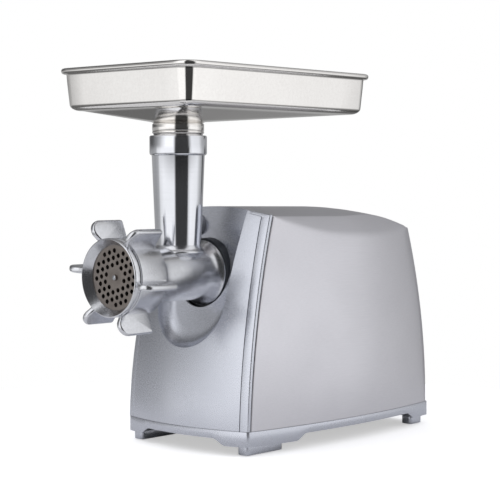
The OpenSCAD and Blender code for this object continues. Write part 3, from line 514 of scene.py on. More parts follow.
def modify(piece: Piece, kind: str, **settings: object) -> Piece:
    """Adds a modifier, sets it and applies it.

    Args:
        piece: the mesh to change.
        kind: the modifier's type name.
        settings: the modifier's own properties.

    Returns:
        The same piece.
    """
    take(piece)
    modifier = piece.modifiers.new(kind.lower(), kind)
    for key, value in settings.items():
        setattr(modifier, key, value)
    bpy.ops.object.modifier_apply(modifier=modifier.name)
    return piece


def cut(piece: Piece, *tools: Piece, how: str = "DIFFERENCE") -> Piece:
    """Cuts a piece with tools one after another, and throws the tools away.

    Args:
        piece: the mesh to cut.
        tools: the cutting meshes.
        how: DIFFERENCE, UNION or INTERSECT.

    Returns:
        The same piece.
    """
    for tool in tools:
        modify(piece, "BOOLEAN", object=tool, operation=how, solver="MANIFOLD")
        bpy.data.objects.remove(tool)
    return piece


def rounded(piece: Piece, width: float, segments: int, angle: float) -> Piece:
    """Rounds every edge sharper than an angle."""
    return modify(piece, "BEVEL", width=width, segments=segments, limit_method="ANGLE",
                  angle_limit=math.radians(angle))


def joined(pieces: Sequence[Piece]) -> Piece:
    """Joins several meshes into the first of them.

    Args:
        pieces: the meshes.

    Returns:
        The joined mesh.
    """
    take(pieces[0])
    for piece in pieces[1:]:
        piece.select_set(True)
    bpy.ops.object.join()
    return pieces[0]


def mirrored(piece: Piece) -> Piece:
    """Adds the piece's mirror image across X = 0."""
    return modify(piece, "MIRROR", use_axis=(True, False, False), use_mirror_merge=False)


def handed_over(piece: Piece, name: str, finish: Finish, body: str,
                stands_for: Sequence[str] = (), smooth: float = 32.0) -> None:
    """Names a piece, scales it to metres, dresses it and lets it ride.

    Args:
        piece: the piece, in millimetres.
        name: its name.
        finish: what it is made of.
        body: the body it moves with.
        stands_for: the nodes it replaces.
        smooth: edges sharper than this many degrees stay sharp.
    """
    piece.name = name
    piece.data.transform(Matrix.Scale(MM, 4))
    piece.data.update()
    take(piece)
    bpy.ops.object.shade_smooth_by_angle(angle=math.radians(smooth))
    piece.data.materials.clear()
    piece.data.materials.append(finish.material())
    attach(piece, body)
    if stands_for:
        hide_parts(*stands_for)
    LOG.info("%s: %d faces, %s", name, len(piece.data.polygons), finish.name)


# ---- Motor body ----

@dataclass(frozen=True)
class BodyForm:
    """The bulged form that the body's shells share; t goes from 0 at the front to 1 at the rear."""

    seam_z: float = 25.5
    front_half_w: float = 86.5
    side_bulge: float = 14.0
    side_lean: float = 2.0e-4
    front_reach: float = 115.0
    front_bow: float = 14.6
    front_lean_1: float = 0.03
    front_lean_2: float = 8.0e-4
    rear_reach: float = 211.0
    rear_lean: float = 6.2e-4
    top_h: float = 252.5
    top_fall: float = 3.0
    rear_fall: float = 22.0
    rear_fall_from: float = 0.63
    shoulder_z: float = 243.0
    shoulder_x: float = 77.5
    shoulder_slope: float = 1.4
    taper: float = 10.0
    taper_from: float = 0.5
    taper_power: float = 1.5
    crown_h: float = 9.5
    crown_fade: float = 0.55
    sliver: float = 0.3
    inset_low: float = 0.6
    inset_brow: float = 0.9
    soft_low: float = 5.0
    soft_top: float = 1.6
    soft_share: float = 0.42
    corner: float = 3.0
    rear_corner: float = 9.0
    gap: float = 0.4
    wall: float = 2.5

    @property
    def shell_z(self) -> float:
        """Height of the shells' lower edge."""
        return self.seam_z + self.gap

    def rise(self, z: float) -> float:
        """Height above the seam."""
        return max(z - self.seam_z, 0.0)

    def front_half(self, z: float) -> float:
        """Half width of the front face at a height."""
        return self.front_half_w - self.side_lean * self.rise(z) ** 2

    def front_y(self, x: float, z: float) -> float:
        """Y of the front face."""
        rise = self.rise(z)
        return (-self.front_reach + self.front_bow * (x / self.front_half(z)) ** 2
                + self.front_lean_1 * rise + self.front_lean_2 * rise ** 2)

    def on_front(self, outline: Sequence[Flat], back: float) -> list[Point]:
        """Lays (x, z) pairs on the front face, or a distance behind it."""
        return [(x, self.front_y(x, z) + back, z) for x, z in outline]

    def rear_y(self, z: float) -> float:
        """Y of the rear face."""
        return self.rear_reach - self.rear_lean * self.rise(z) ** 2

    def side_x(self, t: float, z: float) -> float:
        """X of the side wall."""
        return self.front_half(z) + self.side_bulge * 4 * t * (1 - t)

    def late(self, t: float, start: float) -> float:
        """Zero up to start, then rising to one at the rear."""
        return max(0.0, (t - start) / (1 - start))

    def facet_x(self, t: float, z: float) -> float:
        """X of the shoulder facet at a height."""
        shift = self.taper * self.late(t, self.taper_from) ** self.taper_power
        return self.shoulder_x - shift + (self.shoulder_z - z) / self.shoulder_slope

    def apex_z(self, t: float) -> float:
        """Height of the top on the centre line."""
        return self.top_h - self.top_fall * t - self.rear_fall * self.late(t, self.rear_fall_from) ** 2

    def facet_low_z(self, t: float) -> float:
        """Height at which the facet leaves the side wall: the lower root of a parabola and a line.

        Args:
            t: place along the body.

        Returns:
            The height.
        """
        over = self.facet_x(t, self.seam_z) - self.side_x(t, self.seam_z)
        m = 1 / self.shoulder_slope
        return self.seam_z + (m - math.sqrt(m * m - 4 * self.side_lean * over)) / (2 * self.side_lean)

    def facet_top_z(self, t: float) -> float:
        """Height at which the facet meets the crowned top."""
        crown = self.crown_h * (1 - self.crown_fade * self.late(t, self.taper_from))
        return max(self.facet_low_z(t) + self.sliver, self.apex_z(t) - crown)

    def half_section(self, t: float, inset: float, side_n: int = 14,
                     crown_share: float = 1.0) -> list[Flat]:
        """Half a cross-section, from the low edge of the side up to the centre of the top.

        Args:
            t: place along the body.
            inset: how far the section is drawn in.
            side_n: points up the side wall.
            crown_share: the part of the inset by which the top is lowered.

        Returns:
            (x, z) pairs with both shoulder edges softened.
        """
        apex = self.apex_z(t) - inset * crown_share
        top = min(self.facet_top_z(t) - inset * crown_share, apex - 2 * self.sliver)
        low = min(self.facet_low_z(t) - inset * self.inset_low, top - self.sliver)
        foot = (self.side_x(t, low) - inset, low)
        brow = (self.facet_x(t, self.facet_top_z(t)) - inset * self.inset_brow, top)
        facet = math.dist(foot, brow)
        soft_low = min(self.soft_low, self.soft_share * facet + 0.4)
        soft_top = min(self.soft_top, self.soft_share * facet)
        side = [(self.side_x(t, z) - inset, z) for z in spaced(self.shell_z, low - soft_low, side_n)]
        crown = [(brow[0] * f, apex - (apex - top) * f * f) for f in spaced(1 - soft_top / brow[0], 0, 12)]
        return (side[:-1] + soft_corner(side[-1], foot, between(foot, brow, min(soft_low / facet, 0.5)))
                + soft_corner(between(brow, foot, min(soft_top / facet, 0.5)), brow, crown[0]) + crown[1:])

    def section(self, t: float, inset: float, crown_share: float = 1.0) -> list[Flat]:
        """A whole cross-section, from the low right edge over the top to the low left edge."""
        half = self.half_section(t, inset, crown_share=crown_share)
        return half + [(-x, z) for x, z in reversed(half[:-1])]

    def plan_outline(self, inset: float) -> list[Flat]:
        """The outline at the seam seen from above.

        Args:
            inset: how far it is drawn in.

        Returns:
            (x, y) pairs, from the middle of the front round the right side.
        """
        front_y = self.front_bow - self.front_reach + inset
        length = self.rear_reach + self.front_reach - self.front_bow - 2 * inset

        def wall_x(t: float) -> float:
            """X of the drawn-in side wall at the seam."""
            return self.side_x(t, self.seam_z) - inset

        right = [(x, self.front_y(x, self.seam_z) + inset)
                 for x in spaced(0, self.front_half_w - inset - self.corner, 12)]
        side = [(wall_x(t), front_y + t * length) for t in spaced(0.012, 0.955, 26)]
        tail = [(wall_x(0.97) - self.rear_corner + x, self.rear_reach - inset - self.rear_corner + y)
                for x, y in arc((0, 0), self.rear_corner, 0, 90, 7)]
        right += soft_corner(right[-1], (wall_x(0.004), front_y), side[0])[1:-1] + side + tail
        return right + [(-x, y) for x, y in reversed(right[1:])]


@dataclass
class MotorBody:
    """Housing, front cover with its scoop, trim band, base skirt and feet."""

    form: BodyForm = field(default_factory=BodyForm)
    body: str = "machine_base"
    rear_round: float = 8.0
    rear_depth: float = 14.0
    length: float = 320.0
    grille: Point = (48.4, 10.0, 32.4)
    panel: Point = (10.0, 22.4, 42.4)
    hole_corner: float = 2.0
    gland_r: float = 8.3
    gland_z: float = 46.0
    grille_z: float = 125.0
    grille_lean: float = 7.0
    trim_w: float = 9.0
    trim_depth: float = 3.8
    trim_round: float = 1.1
    top_share: float = 0.2
    scoop_r: float = 48.5
    scoop_z: float = 154.5
    scoop_top: float = 275.0
    scoop_lean: float = 0.24
    scoop_round: float = 16.0
    scoop_flare: float = 0.03
    scoop_back: float = 38.5
    scoop_depth: float = 90.0
    scoop_fade: float = 70.0
    least_soft: float = 0.06
    socket_r: float = 36.0
    bore_gap: float = 0.4
    skirt_low_z: float = 10.0
    skirt_wall: float = 3.0
    deck_z: float = 22.0
    arch_rise: float = 7.0
    arch_half_w: float = 62.0
    arch_run: float = 16.0
    foot_x: float = 76.0
    foot_half_w: float = 7.0
    foot_corner: float = 4.0
    foot_low_z: float = 0.9
    pad_half_w: float = 3.5
    pad_in: float = 5.0
    pad_top_z: float = 3.0
    foot_spans: tuple[Flat, Flat] = ((-98.0, -42.0), (181.0, 203.0))

    def build(self) -> None:
        """Builds and dresses every shell of the body."""
        self.housing()
        self.trim()
        self.front_cover()
        self.skirt()
        self.feet()

    def _silver(self, piece: Piece, name: str, node: str, smooth: float = 32.0) -> None:
        """Hands over a moulding in silver lacquer."""
        handed_over(piece, name, SILVER_LACQUER, self.body, [node], smooth)

    def housing(self) -> None:
        """The brushed skin: sides, shoulders, top and rounded rear in one sheet."""
        form = self.form
        start = self.trim_depth + form.gap
        rows = [form.on_front(form.section(0.015, inset), back)
                for back, inset in ((start, 0.7), (start + 0.2, 0.25), (start + 0.7, 0.0))]
        for t in spaced(0.035, 0.945, 24):
            rows.append([(x, form.front_y(x, z) + t * (form.rear_y(z) - form.front_y(x, z)), z)
                         for x, z in form.section(t, 0.0)])
        for a in spaced(10, 90, 9):
            back = self.rear_depth * (1 - sind(a))
            rows.append([(x, form.rear_y(z) - back, z)
                         for x, z in form.section(1 - back / self.length, self.rear_round * (1 - cosd(a)))])
        rear = form.section(1.0, self.rear_round)
        for share in (0.97, 0.88, 0.74, 0.58, 0.42, 0.27, 0.13, 0.0):
            rows.append([(x * share, form.rear_y(z), z) for x, z in rear])
        shell = pressed(rows)
        modify(shell, "SOLIDIFY", thickness=form.wall, offset=-1.0)
        grille, panel = (boxed([-c for c in size], size, self.hole_corner)
                         for size in (self.grille, self.panel))
        grille.data.transform(Matrix.Translation((0, form.rear_y(self.grille_z), self.grille_z))
                              @ Matrix.Rotation(math.radians(self.grille_lean), 4, "X"))
        panel.data.transform(PANEL_PLACE)
        gland = bore(self.gland_r, -20, 20, (0, form.rear_reach, self.gland_z), 48)
        cut(shell, self.scoop(form.wall + form.gap), grille, panel, gland)
        handed_over(shell, "housing_skin", BRUSHED_SKIN, self.body, ["housing_shell"], 38)

    def trim(self) -> None:
        """The band between cover and housing, rounded over its outer edge."""
        form, w, depth, r = self.form, self.trim_w, self.trim_depth, self.trim_round
        inner = form.wall + form.gap
        face = [(w, 0.7), (w - 0.2, 0.2), (w - 0.7, 0.0)]
        face += [(r - x, r - y) for x, y in arc((0, 0), r, 90, 0, 8)]
        face += [(0.0, depth - 0.3), (0.3, depth), (w + 4, depth), (w + 4, inner), (w, inner), (w, 0.7)]
        band = pressed([form.on_front(form.section(0.0, inset, self.top_share), back)
                        for inset, back in face], cap_ends=True)
        cut(band, self.scoop(inner))
        self._silver(band, "trim_band", "trim_frame", 40)

    def _wall_y(self, z: float) -> float:
        """Y of the scoop's leaning rear wall."""
        return TUBE_Y + self.scoop_back + self.scoop_lean * (z - AXIS_Z)

    def _shrink(self, depth: float, z: float) -> float:
        """How far the rounding, which fades with height, draws the outline in at a depth."""
        f = 1 - min(depth / self.scoop_round, 1.0)
        return (self.scoop_round * max(self.least_soft, 1 - max(0.0, z - self.scoop_z) / self.scoop_fade)
                * (1 - math.sqrt(1 - f * f)))

    def scoop(self, extra: float) -> Piece:
        """The scoop as a closed form: U-shaped, round at the bottom and open at the top.

        Args:
            extra: how far it is larger than the hollow.

        Returns:
            The form.
        """
        radius = self.scoop_r + extra
        heights = spaced(self.scoop_top, self.scoop_z + 3, 22)
        rows = []
        for depth in [self.scoop_round * (1 - cosd(a)) for a in spaced(0, 90, 10)] + [self.scoop_depth]:
            flank = [(radius + self.scoop_flare * (z - self.scoop_z) - self._shrink(depth, z), z)
                     for z in heights]
            reach = radius - self._shrink(depth, self.scoop_z)
            around = (flank + arc((0.0, self.scoop_z), reach, 0, -180, 37)
                      + [(-x, z) for x, z in reversed(flank)] + flank[:1])
            rows.append([(x, self._wall_y(z) - depth + extra, z) for x, z in around])
        return pressed(rows, cap_ends=True)

    def front_cover(self) -> None:
        """The silver cover, hollowed by the scoop and bored for socket and button."""
        form = self.form

        def skin(outline: list[Flat], start: float, depth: float) -> Piece:
            """A piece of the front face inside an outline, thickened towards the rear."""
            rows = [form.on_front([(w * f, z) for f in spaced(1, -1, 57)], start) for w, z in outline]
            return thickened(pressed(rows), (0, depth, 0))

        cover = skin(form.half_section(0.0, self.trim_w + form.gap, 56, self.top_share), 0.0, form.wall)
        block = skin(form.half_section(0.0, 0.3, 56), 0.3, 70)
        cut(cover, cut(self.scoop(form.wall), block, how="INTERSECT"), how="UNION")
        cut(cover, self.scoop(0.0), bore(self.socket_r + self.bore_gap, -110, -40, sides=96),
            bore(BUTTON_R + self.bore_gap, -110, -40, ON_BUTTON, 64))
        self._silver(cover, "front_cover_skin", "front_cover", 30)

    def _arch(self, start: float, stop: float) -> list[Flat]:
        """The outline of the opening under the skirt between two feet."""
        ramp = [(self.arch_run * f, self.skirt_low_z + self.arch_rise * ((1 - math.cos(math.pi * f)) / 2))
                for f in spaced(0, 1, 9)]
        return ([(start, 0)] + [(start + run, z) for run, z in ramp]
                + [(stop - run, z) for run, z in reversed(ramp)] + [(stop, 0)])

    def skirt(self) -> None:
        """The base moulding with arched lower edges and a ribbed hollow below."""
        form, low = self.form, self.skirt_low_z
        base = extruded([(x, y, low) for x, y in form.plan_outline(0)], (0, 0, form.seam_z - low))
        hollow = extruded([(x, y, low - 1) for x, y in form.plan_outline(self.skirt_wall)],
                          (0, 0, self.deck_z - low + 1))
        for x in (-self.foot_x, self.foot_x):
            for front, rear in self.foot_spans:
                cut(hollow, boxed((x - self.foot_half_w, front, 0), (x + self.foot_half_w, rear, 30)))
        side_arch = self._arch(self.foot_spans[0][1] + 6, self.foot_spans[1][0] - 6)
        front_arch = self._arch(-self.arch_half_w, self.arch_half_w)
        cut(base, hollow, extruded([(x, -130, z) for x, z in front_arch], (0, 40, 0)),
            extruded([(-150, y, z) for y, z in side_arch], (300, 0, 0)))
        rounded(base, 0.5, 2, 40)
        self._silver(base, "base_moulding", "base_skirt", 35)

    def feet(self) -> None:
        """Four feet with rounded corners, and the rubber pads under them."""
        blocks, pads = [], []
        for front, rear in self.foot_spans:
            corners = rounded_rect(2 * self.foot_half_w, rear - front, self.foot_corner, 6, 2)
            block = extruded([(self.foot_x + x, (front + rear) / 2 + y, self.foot_low_z) for x, y in corners],
                             (0, 0, self.skirt_low_z - 0.7))
            blocks.append(rounded(block, 0.8, 3, 50))
            pads.append(boxed((self.foot_x - self.pad_half_w, front + self.pad_in, 0.0),
                              (self.foot_x + self.pad_half_w, rear - self.pad_in, self.pad_top_z), 0.4))
        self._silver(mirrored(joined(blocks)), "feet_blocks", "feet")
        handed_over(mirrored(joined(pads)), "rubber_pads", SOFT_RUBBER, self.body,
                    ["foot_pads"])


# ---- Grinding head ----

@dataclass
class GrindingHead:
    """Head casting with barrel and feed tube, hole plate and stud."""

    body: str = "grinding_head"
    barrel_r: float = 28.0
    bore_r: float = 24.6
    journal_r: float = 9.1
    throat_r: float = 20.5
    plate_r: float = 34.0
    plate_t: float = 6.0
    counterbore: float = 14.2
    collar_r: float = 29.6
    turned_from: float = 214.0
    tube_low: float = 23.55
    tube_high: float = 27.3
    hole_pitch: float = 7.5
    hole_r: float = 2.3
    countersink: float = 1.15
    hub_r: float = 9.0
    stud_bore_r: float = 3.06
    hole_turn: float = 18.0

    def build(self) -> None:
        """Builds and dresses the head."""
        self.casting()
        self.plate()
        self.stud()

    def casting(self) -> None:
        """Barrel and feed tube in one casting, bored and counterbored, its tube turned bright."""
        y, top, r = PLATE_Y + 0.6, COLLAR_TOP, self.throat_r
        barrel = [
            (30, y), (35.9, y), (36.4, y + 0.5), (36.4, -169.4), (36.1, -168.8), (34.6, -167.9),
            (32.6, -166.5), (31.0, -164.2), (29.7, -161.2), (28.8, -158), (28.3, -154.6), (28.1, -150.5),
            (self.barrel_r, -147), (self.barrel_r, -93), (28.15, -90.4), (28.5, -88), (29.0, -85.9),
            (29.6, -84.1), (30.4, -82.3), (31.3, -80.9), (32.3, -79.6), (33.3, -78.5), (33.8, -78.1),
            (34.0, -77.7), (34.0, -77.0), (33.6, -76.6), (29.8, -76.4), (29.8, -43.4), (29.4, -43),
            (28.8, -42), (20, -42), (20, -70), (10, -120)]
        tube = [
            (0.0, 190.0), (22.6, 190.0), (23.0, 197.4), (23.8, 200.4), (25.0, 202.6), (26.4, 204.1),
            (27.4, 204.9), (27.7, 205.5), (27.4, 206.4), (26.5, 207.5), (25.3, 208.6), (24.4, 209.9),
            (23.8, 211.4), (self.tube_low, 213.4), (self.tube_high, 304.8), (27.5, 305.3), (28.4, 305.7),
            (29.0, 306.1), (29.4, 306.8), (self.collar_r, 307.8), (self.collar_r, top - 1.4),
            (29.2, top - 0.5), (28.6, top - 0.1), (28.0, top), (25.4, top), (25.1, top - 0.3),
            (25.1, 305.4), (22.8, 305.4), (r, 227), (r, 200), (0.0, 200.0)]
        front, seat = PLATE_Y - 1, PLATE_Y + self.plate_t + 0.1
        counterbore = [(0, front), (self.plate_r + 0.1, front), (self.plate_r + 0.1, seat), (28, seat),
                       (28, PLATE_Y + self.counterbore), (0, PLATE_Y + self.counterbore)]
        casting = turned(barrel, looped=True)
        cut(casting, turned(tube, ON_TUBE, axis=Axis.Z), how="UNION")
        cut(casting, bore(self.bore_r, front, -60), bore(r, AXIS_Z, 228, ON_TUBE, axis=Axis.Z),
            turned(counterbore), bore(self.journal_r, -75, -30, sides=48))
        handed_over(casting, "head_casting_polished", CAST_ALUMINIUM, self.body,
                    ["head_casting"], 28)
        casting.data.materials.append(TURNED_ALUMINIUM.material())
        for face in casting.data.polygons:
            face.material_index = int(face.center.z > self.turned_from * MM)

    def plate(self) -> None:
        """The hole plate, with a countersunk edge at every hole."""
        y, t, r, edge = PLATE_Y, self.plate_t, self.hole_r, self.plate_r
        disc = turned([
            (0, y), (edge - 0.4, y), (edge, y + 0.4), (edge, y + t - 0.4), (edge - 0.4, y + t), (0, y + t)],
            sides=96)
        hole = [(0, y - 1), (r + self.countersink, y - 1), (r, y + 0.15), (r, y + t + 1), (0, y + t + 1)]
        cos, sin = cosd(self.hole_turn), sind(self.hole_turn)
        drills = []
        for i in range(-4, 5):
            for j in range(-4, 5):
                flat = Vector((self.hole_pitch * (i + j / 2), self.hole_pitch * j * math.sqrt(3) / 2))
                if self.hub_r < flat.length < self.hole_pitch * 3.7:
                    x, z = flat.x * cos - flat.y * sin, AXIS_Z + flat.x * sin + flat.y * cos
                    drills.append(turned(hole, (x, 0, z), 20))
        drills.append(bore(self.stud_bore_r, y - 1, y + t + 1, sides=32))
        cut(disc, joined(drills))
        handed_over(disc, "hole_plate_ground", GROUND_STEEL, self.body, ["hole_plate"], 30)

    def stud(self) -> None:
        """The domed end of the auger's stud, in the middle of the plate."""
        y = PLATE_Y - 1.6
        dome = turned([
            (0.0, y - 0.9), (1.2, y - 0.75), (2.2, y - 0.3), (2.7, y + 0.3), (2.9, y + 1.0),
            (2.9, y + 1.5), (0.0, y + 1.5)], sides=32)
        handed_over(dome, "stud_end", MACHINED_STEEL, "auger")


@dataclass
class ScrewRing:
    """The screw ring: turned body, grooved behind its lip, with six cast wings."""

    body: str = "ring"
    front_y: float = -211.0
    rear_y: float = -167.0
    radius: float = 39.5
    wing_r: float = 60.5
    wing_front_y: float = -214.5
    wing_rear_y: float = -172.0
    wing_count: int = 6
    wing_start: float = -8.0
    wing_t: float = 6.2
    wing_round: float = 2.2
    corner: float = 11.0
    bore_r: float = 36.6

    def build(self) -> None:
        """Builds the ring from its turned body and the wings set into it."""
        front, rear, r, plate = self.front_y, self.rear_y, self.radius, PLATE_Y
        ring = turned([
            (30, plate), (34, front + 0.4), (37.6, front), (38.6, front + 0.2), (39.2, front + 0.7),
            (r, front + 1.4), (r, front + 4.6), (r - 0.3, front + 5.1), (r - 1.5, front + 5.7),
            (r - 1.8, front + 6.2), (r - 1.8, front + 8.3), (r - 1.5, front + 8.8), (r - 0.3, front + 9.2),
            (r, front + 9.7), (r, rear - 1.2), (r - 0.3, rear - 0.5), (r - 0.9, rear), (30, rear)],
            sides=144, looped=True)
        for k in range(self.wing_count):
            cut(ring, self._wing(self.wing_start + k * (360 / self.wing_count)), how="UNION")
        cut(ring, turned([
            (0, front - 6), (42.3, front - 6), (32.4, plate - 0.9), (32.4, plate - 0.1),
            (34.2, plate - 0.1), (self.bore_r, plate + 0.5), (self.bore_r, -160), (0, -160)], sides=144))
        handed_over(ring, "screw_ring_winged", CAST_ALUMINIUM, self.body,
                    ["screw_ring"], 30)

    def _wing(self, angle: float) -> Piece:
        """One wing: its profile extruded, rounded on every edge and swung to its angle.

        Args:
            angle: degrees from +X towards +Z.

        Returns:
            The wing, reaching into the ring's wall.
        """
        front, tip, rear, r = self.wing_front_y, self.wing_r, self.wing_rear_y, self.corner
        profile = [(37.0, rear), (37.0, self.front_y + 7), (self.radius - 1, self.front_y + 3),
                   (tip - 18, front + 3.4), (tip - 14.5, front + 0.9)]
        profile += [(tip - r + r * sind(a), front + r * (1 - cosd(a))) for a in spaced(0, 90, 10)]
        profile += [(tip, rear - 2.5), (tip - 0.8, rear - 0.7), (tip - 2.5, rear)]
        wing = extruded([(x, y, -self.wing_t / 2) for x, y in profile], (0, 0, self.wing_t))
        rounded(wing, self.wing_round, 4, 60)
        wing.data.transform(Matrix.Translation(ON_BARREL) @ Matrix.Rotation(math.radians(-angle), 4, "Y"))
        return wing


# ---- Feed tray ----

@dataclass
class FeedTray:
    """The drawn steel tray with rolled rim and hipped floor, and its turned neck."""

    body: str = "tray"
    slot: str = "polished_steel"
    width: float = 193.8
    length: float = 292.8
    middle_y: float = -50.8
    rim_z: float = 394.5
    floor_z: float = 351.0
    throat_r: float = 24.0
    throat_z: float = 338.4
    throat_share: float = 76.0
    corner: float = 20.3
    wall_in: float = 5.6
    draft: float = 3.0
    sheet: float = 1.2
    fold: float = 12.0
    fold_h: float = 6.5
    neck_r: float = 26.7

    def build(self) -> None:
        """Builds tray and neck."""
        self.tray()
        self.neck()

    def _ring(self, out: float, z: float) -> list[Point]:
        """An outline a distance outside the wall's line, at a height, its first point repeated."""
        points = rounded_rect(self.width - 2 * self.wall_in + 2 * out,
                              self.length - 2 * self.wall_in + 2 * out,
                              max(self.corner - self.wall_in + out, 2.0))
        return [(x, y + self.middle_y, z) for x, y in points + points[:1]]

    def _throat_ring(self, radius: float, z: float) -> list[Point]:
        """A circle round the throat, with corners that take most of each quadrant.

        Args:
            radius: its radius.
            z: its height.

        Returns:
            As many points as an outline of the tray has.
        """
        share, half = self.throat_share, (90 - self.throat_share) / 2
        angles = []
        for start in (0, 90, 180, 270):
            angles += spaced(start + half, start + half + share, 9)
            angles += spaced(start + half + share, start + 90 + half, 9)[1:-1]
        return [(radius * cosd(a), TUBE_Y + radius * sind(a), z) for a in angles + angles[:1]]

    def _floor(self, out: float, edge_z: float, radius: float, z: float) -> list[list[Point]]:
        """The hipped floor from its edge to the throat, with a short bend at the neck.

        Args:
            out: where its edge lies.
            edge_z: the edge's height.
            radius: the throat's radius.
            z: the throat's height.

        Returns:
            Rows of points.
        """
        edge, throat = self._ring(out, edge_z), self._throat_ring(radius + 5.0, z + 1.6)
        rows = [[between(p, q, s) for p, q in zip(edge, throat)] for s in spaced(0, 1, 9)]
        return rows + [self._throat_ring(radius + 2.6, z + 1.1), self._throat_ring(radius + 0.9, z + 0.4),
                       self._throat_ring(radius, z - 0.6)]

    def _bend(self, thinner: float) -> list[list[Point]]:
        """Rows of the bend between floor and wall, by how far inside the outer face it lies."""
        return [self._ring(-thinner - self.draft - self.fold * (1 - sind(a)),
                           self.floor_z + thinner + self.fold_h * (1 - cosd(a)))
                for a in spaced(0, 90, 9)]

    def tray(self) -> None:
        """The tray as one closed sheet: floor outside, wall, rolled rim, wall inside, floor inside."""
        edge, sheet, top = -self.draft - self.fold, self.sheet, self.rim_z
        roll = [
            (-0.5, top - 14), (0.0, top - 8), (0.3, top - 6.2), (0.9, top - 5.5), (1.5, top - 5.3),
            (2.2, top - 5.6), (3.4, top - 5.8), (4.5, top - 5.3), (5.3, top - 4.2), (5.6, top - 2.9),
            (5.4, top - 1.6), (4.6, top - 0.6), (3.4, top - 0.1), (2.0, top), (0.4, top - 0.3),
            (-0.7, top - 1.2), (-1.2, top - 2.8), (-1.3, top - 8)]
        outside = self._floor(edge, self.floor_z, self.throat_r + sheet, self.throat_z)
        inside = self._floor(edge - sheet, self.floor_z + sheet, self.throat_r, self.throat_z + sheet)
        rows = (outside[:0:-1] + self._bend(0.0) + [self._ring(out, z) for out, z in roll]
                + self._bend(sheet)[::-1] + inside[1:])
        tray = pressed(rows + rows[:1])
        handed_over(tray, "feed_tray_drawn", MIRROR_STAINLESS, self.body, ["feed_tray"], 50)

    def neck(self) -> None:
        """The turned neck: a band with a groove, and the spigot that drops into the collar."""
        r, seat = self.neck_r, COLLAR_TOP
        neck = turned([
            (22.9, 306.4), (24.6, 306.4), (25.0, 306.9), (25.0, seat + 0.1), (25.5, seat + 1.0),
            (25.9, seat + 2.0), (r - 0.3, seat + 2.3), (r, seat + 2.8), (r, 329.5), (r - 0.25, 329.9),
            (r - 0.5, 330.1), (r - 0.25, 330.4), (r, 330.8), (r, 337.0), (r - 0.4, 337.7),
            (r - 1.0, 338.1), (r - 1.6, 338.2), (22.9, 338.2)], ON_TUBE, axis=Axis.Z, looped=True)
        handed_over(neck, "tray_neck_turned", MIRROR_STAINLESS, self.body, ["tray_neck"], 40)


# ---- Controls ----

@dataclass
class ReleaseButton:
    """The domed release button beside the tube, with its stem."""

    body: str = "release"
    dome: tuple[Flat, ...] = ((0.0, -72.5), (3.0, -72.35), (6.0, -71.6), (8.4, -70.2), (10.0, -68.4),
                              (10.8, -66.8), (BUTTON_R, -65.6), (BUTTON_R, -58.0), (10.6, -57.6))
    stem: tuple[Flat, ...] = ((4.0, -57.6), (4.0, -36.3), (3.7, -36.0), (0.0, -36.0))

    def build(self) -> None:
        """Builds and dresses the button."""
        knob = turned(self.dome + self.stem, ON_BUTTON, 64)
        handed_over(knob, "release_knob", SILVER_LACQUER, self.body, ["release_button"])


# ---- Carried-over nodes ----

@dataclass(frozen=True)
class Spring:
    """A spring that a button shortens: its node, joint, travel, direction and fixed end."""

    node: str
    joint: str
    travel: float
    way: Point
    seat: Point


@dataclass
class InnerWorks:
    """Dresses the nodes that stay as the construction has them."""

    finishes: dict[Finish, tuple[str, ...]] = field(default_factory=lambda: {
        BLACK_ABS: ("bottom_cover", "rear_grille", "switch_panel", "switch_case", "cord_gland",
                    "motor_end_cap", "motor_cradle"),
        BLACK_GLOSS: ("power_rocker", "reverse_button"),
        DARK_NYLON: ("head_socket",),
        DIE_CAST: ("gearbox_case", "gearbox_cover", "motor_can"),
        MACHINED_STEEL: ("drive_coupler", "output_gear", "layshaft_b", "layshaft_a", "motor_shaft",
                         "rotor_bearings", "case_screws", "gearbox_screws", "release_spring",
                         "reverse_spring", "lock_pin"),
        GROUND_STEEL: ("knife", "plate_key", "auger_shaft"),
        CAST_ALUMINIUM: ("auger_screw",),
        NATURAL_NYLON: ("gear_b", "gear_a", "cooling_fan", "thrust_washer"),
        SINTERED_BRONZE: ("output_bushes", "layshaft_bushes", "commutator", "brush_holders"),
        LAMINATED_STEEL: ("stator_core", "armature_core"),
        COPPER_WINDING: ("field_windings", "armature_windings"),
        PRESSED_CARBON: ("carbon_brushes",),
        SOLDER_MASK: ("control_board",),
    })
    springs: tuple[Spring, ...] = (
        Spring("release_spring", "release_press", 4.0, (0.0, 1.0, 0.0), (-20.0, -44.1, 232.0)),
        Spring("reverse_spring", "reverse_press", 3.0, (0.9936949, 0.0904333, -0.0662739),
               (-82.3, 0.0, 150.0)))

    def spring_back(self, nodes: dict[str, Piece]) -> None:
        """Gives each spring's node a mesh of its own.

        Args:
            nodes: the frame's nodes by name.
        """
        for spring in self.springs:
            node, way = nodes[spring.node], Vector(spring.way)
            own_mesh(node)

    def dress(self, nodes: dict[str, Piece]) -> None:
        """Gives each carried-over node its finish.

        Args:
            nodes: the frame's nodes by name.
        """
        for finish, names in self.finishes.items():
            for name in names:
                slots = nodes[name].data.materials
                if not slots:
                    slots.append(None)
                for i in range(len(slots)):
                    slots[i] = finish.material()
                LOG.info("%s: dressed as %s", name, finish.name)


# ---- Studio ----

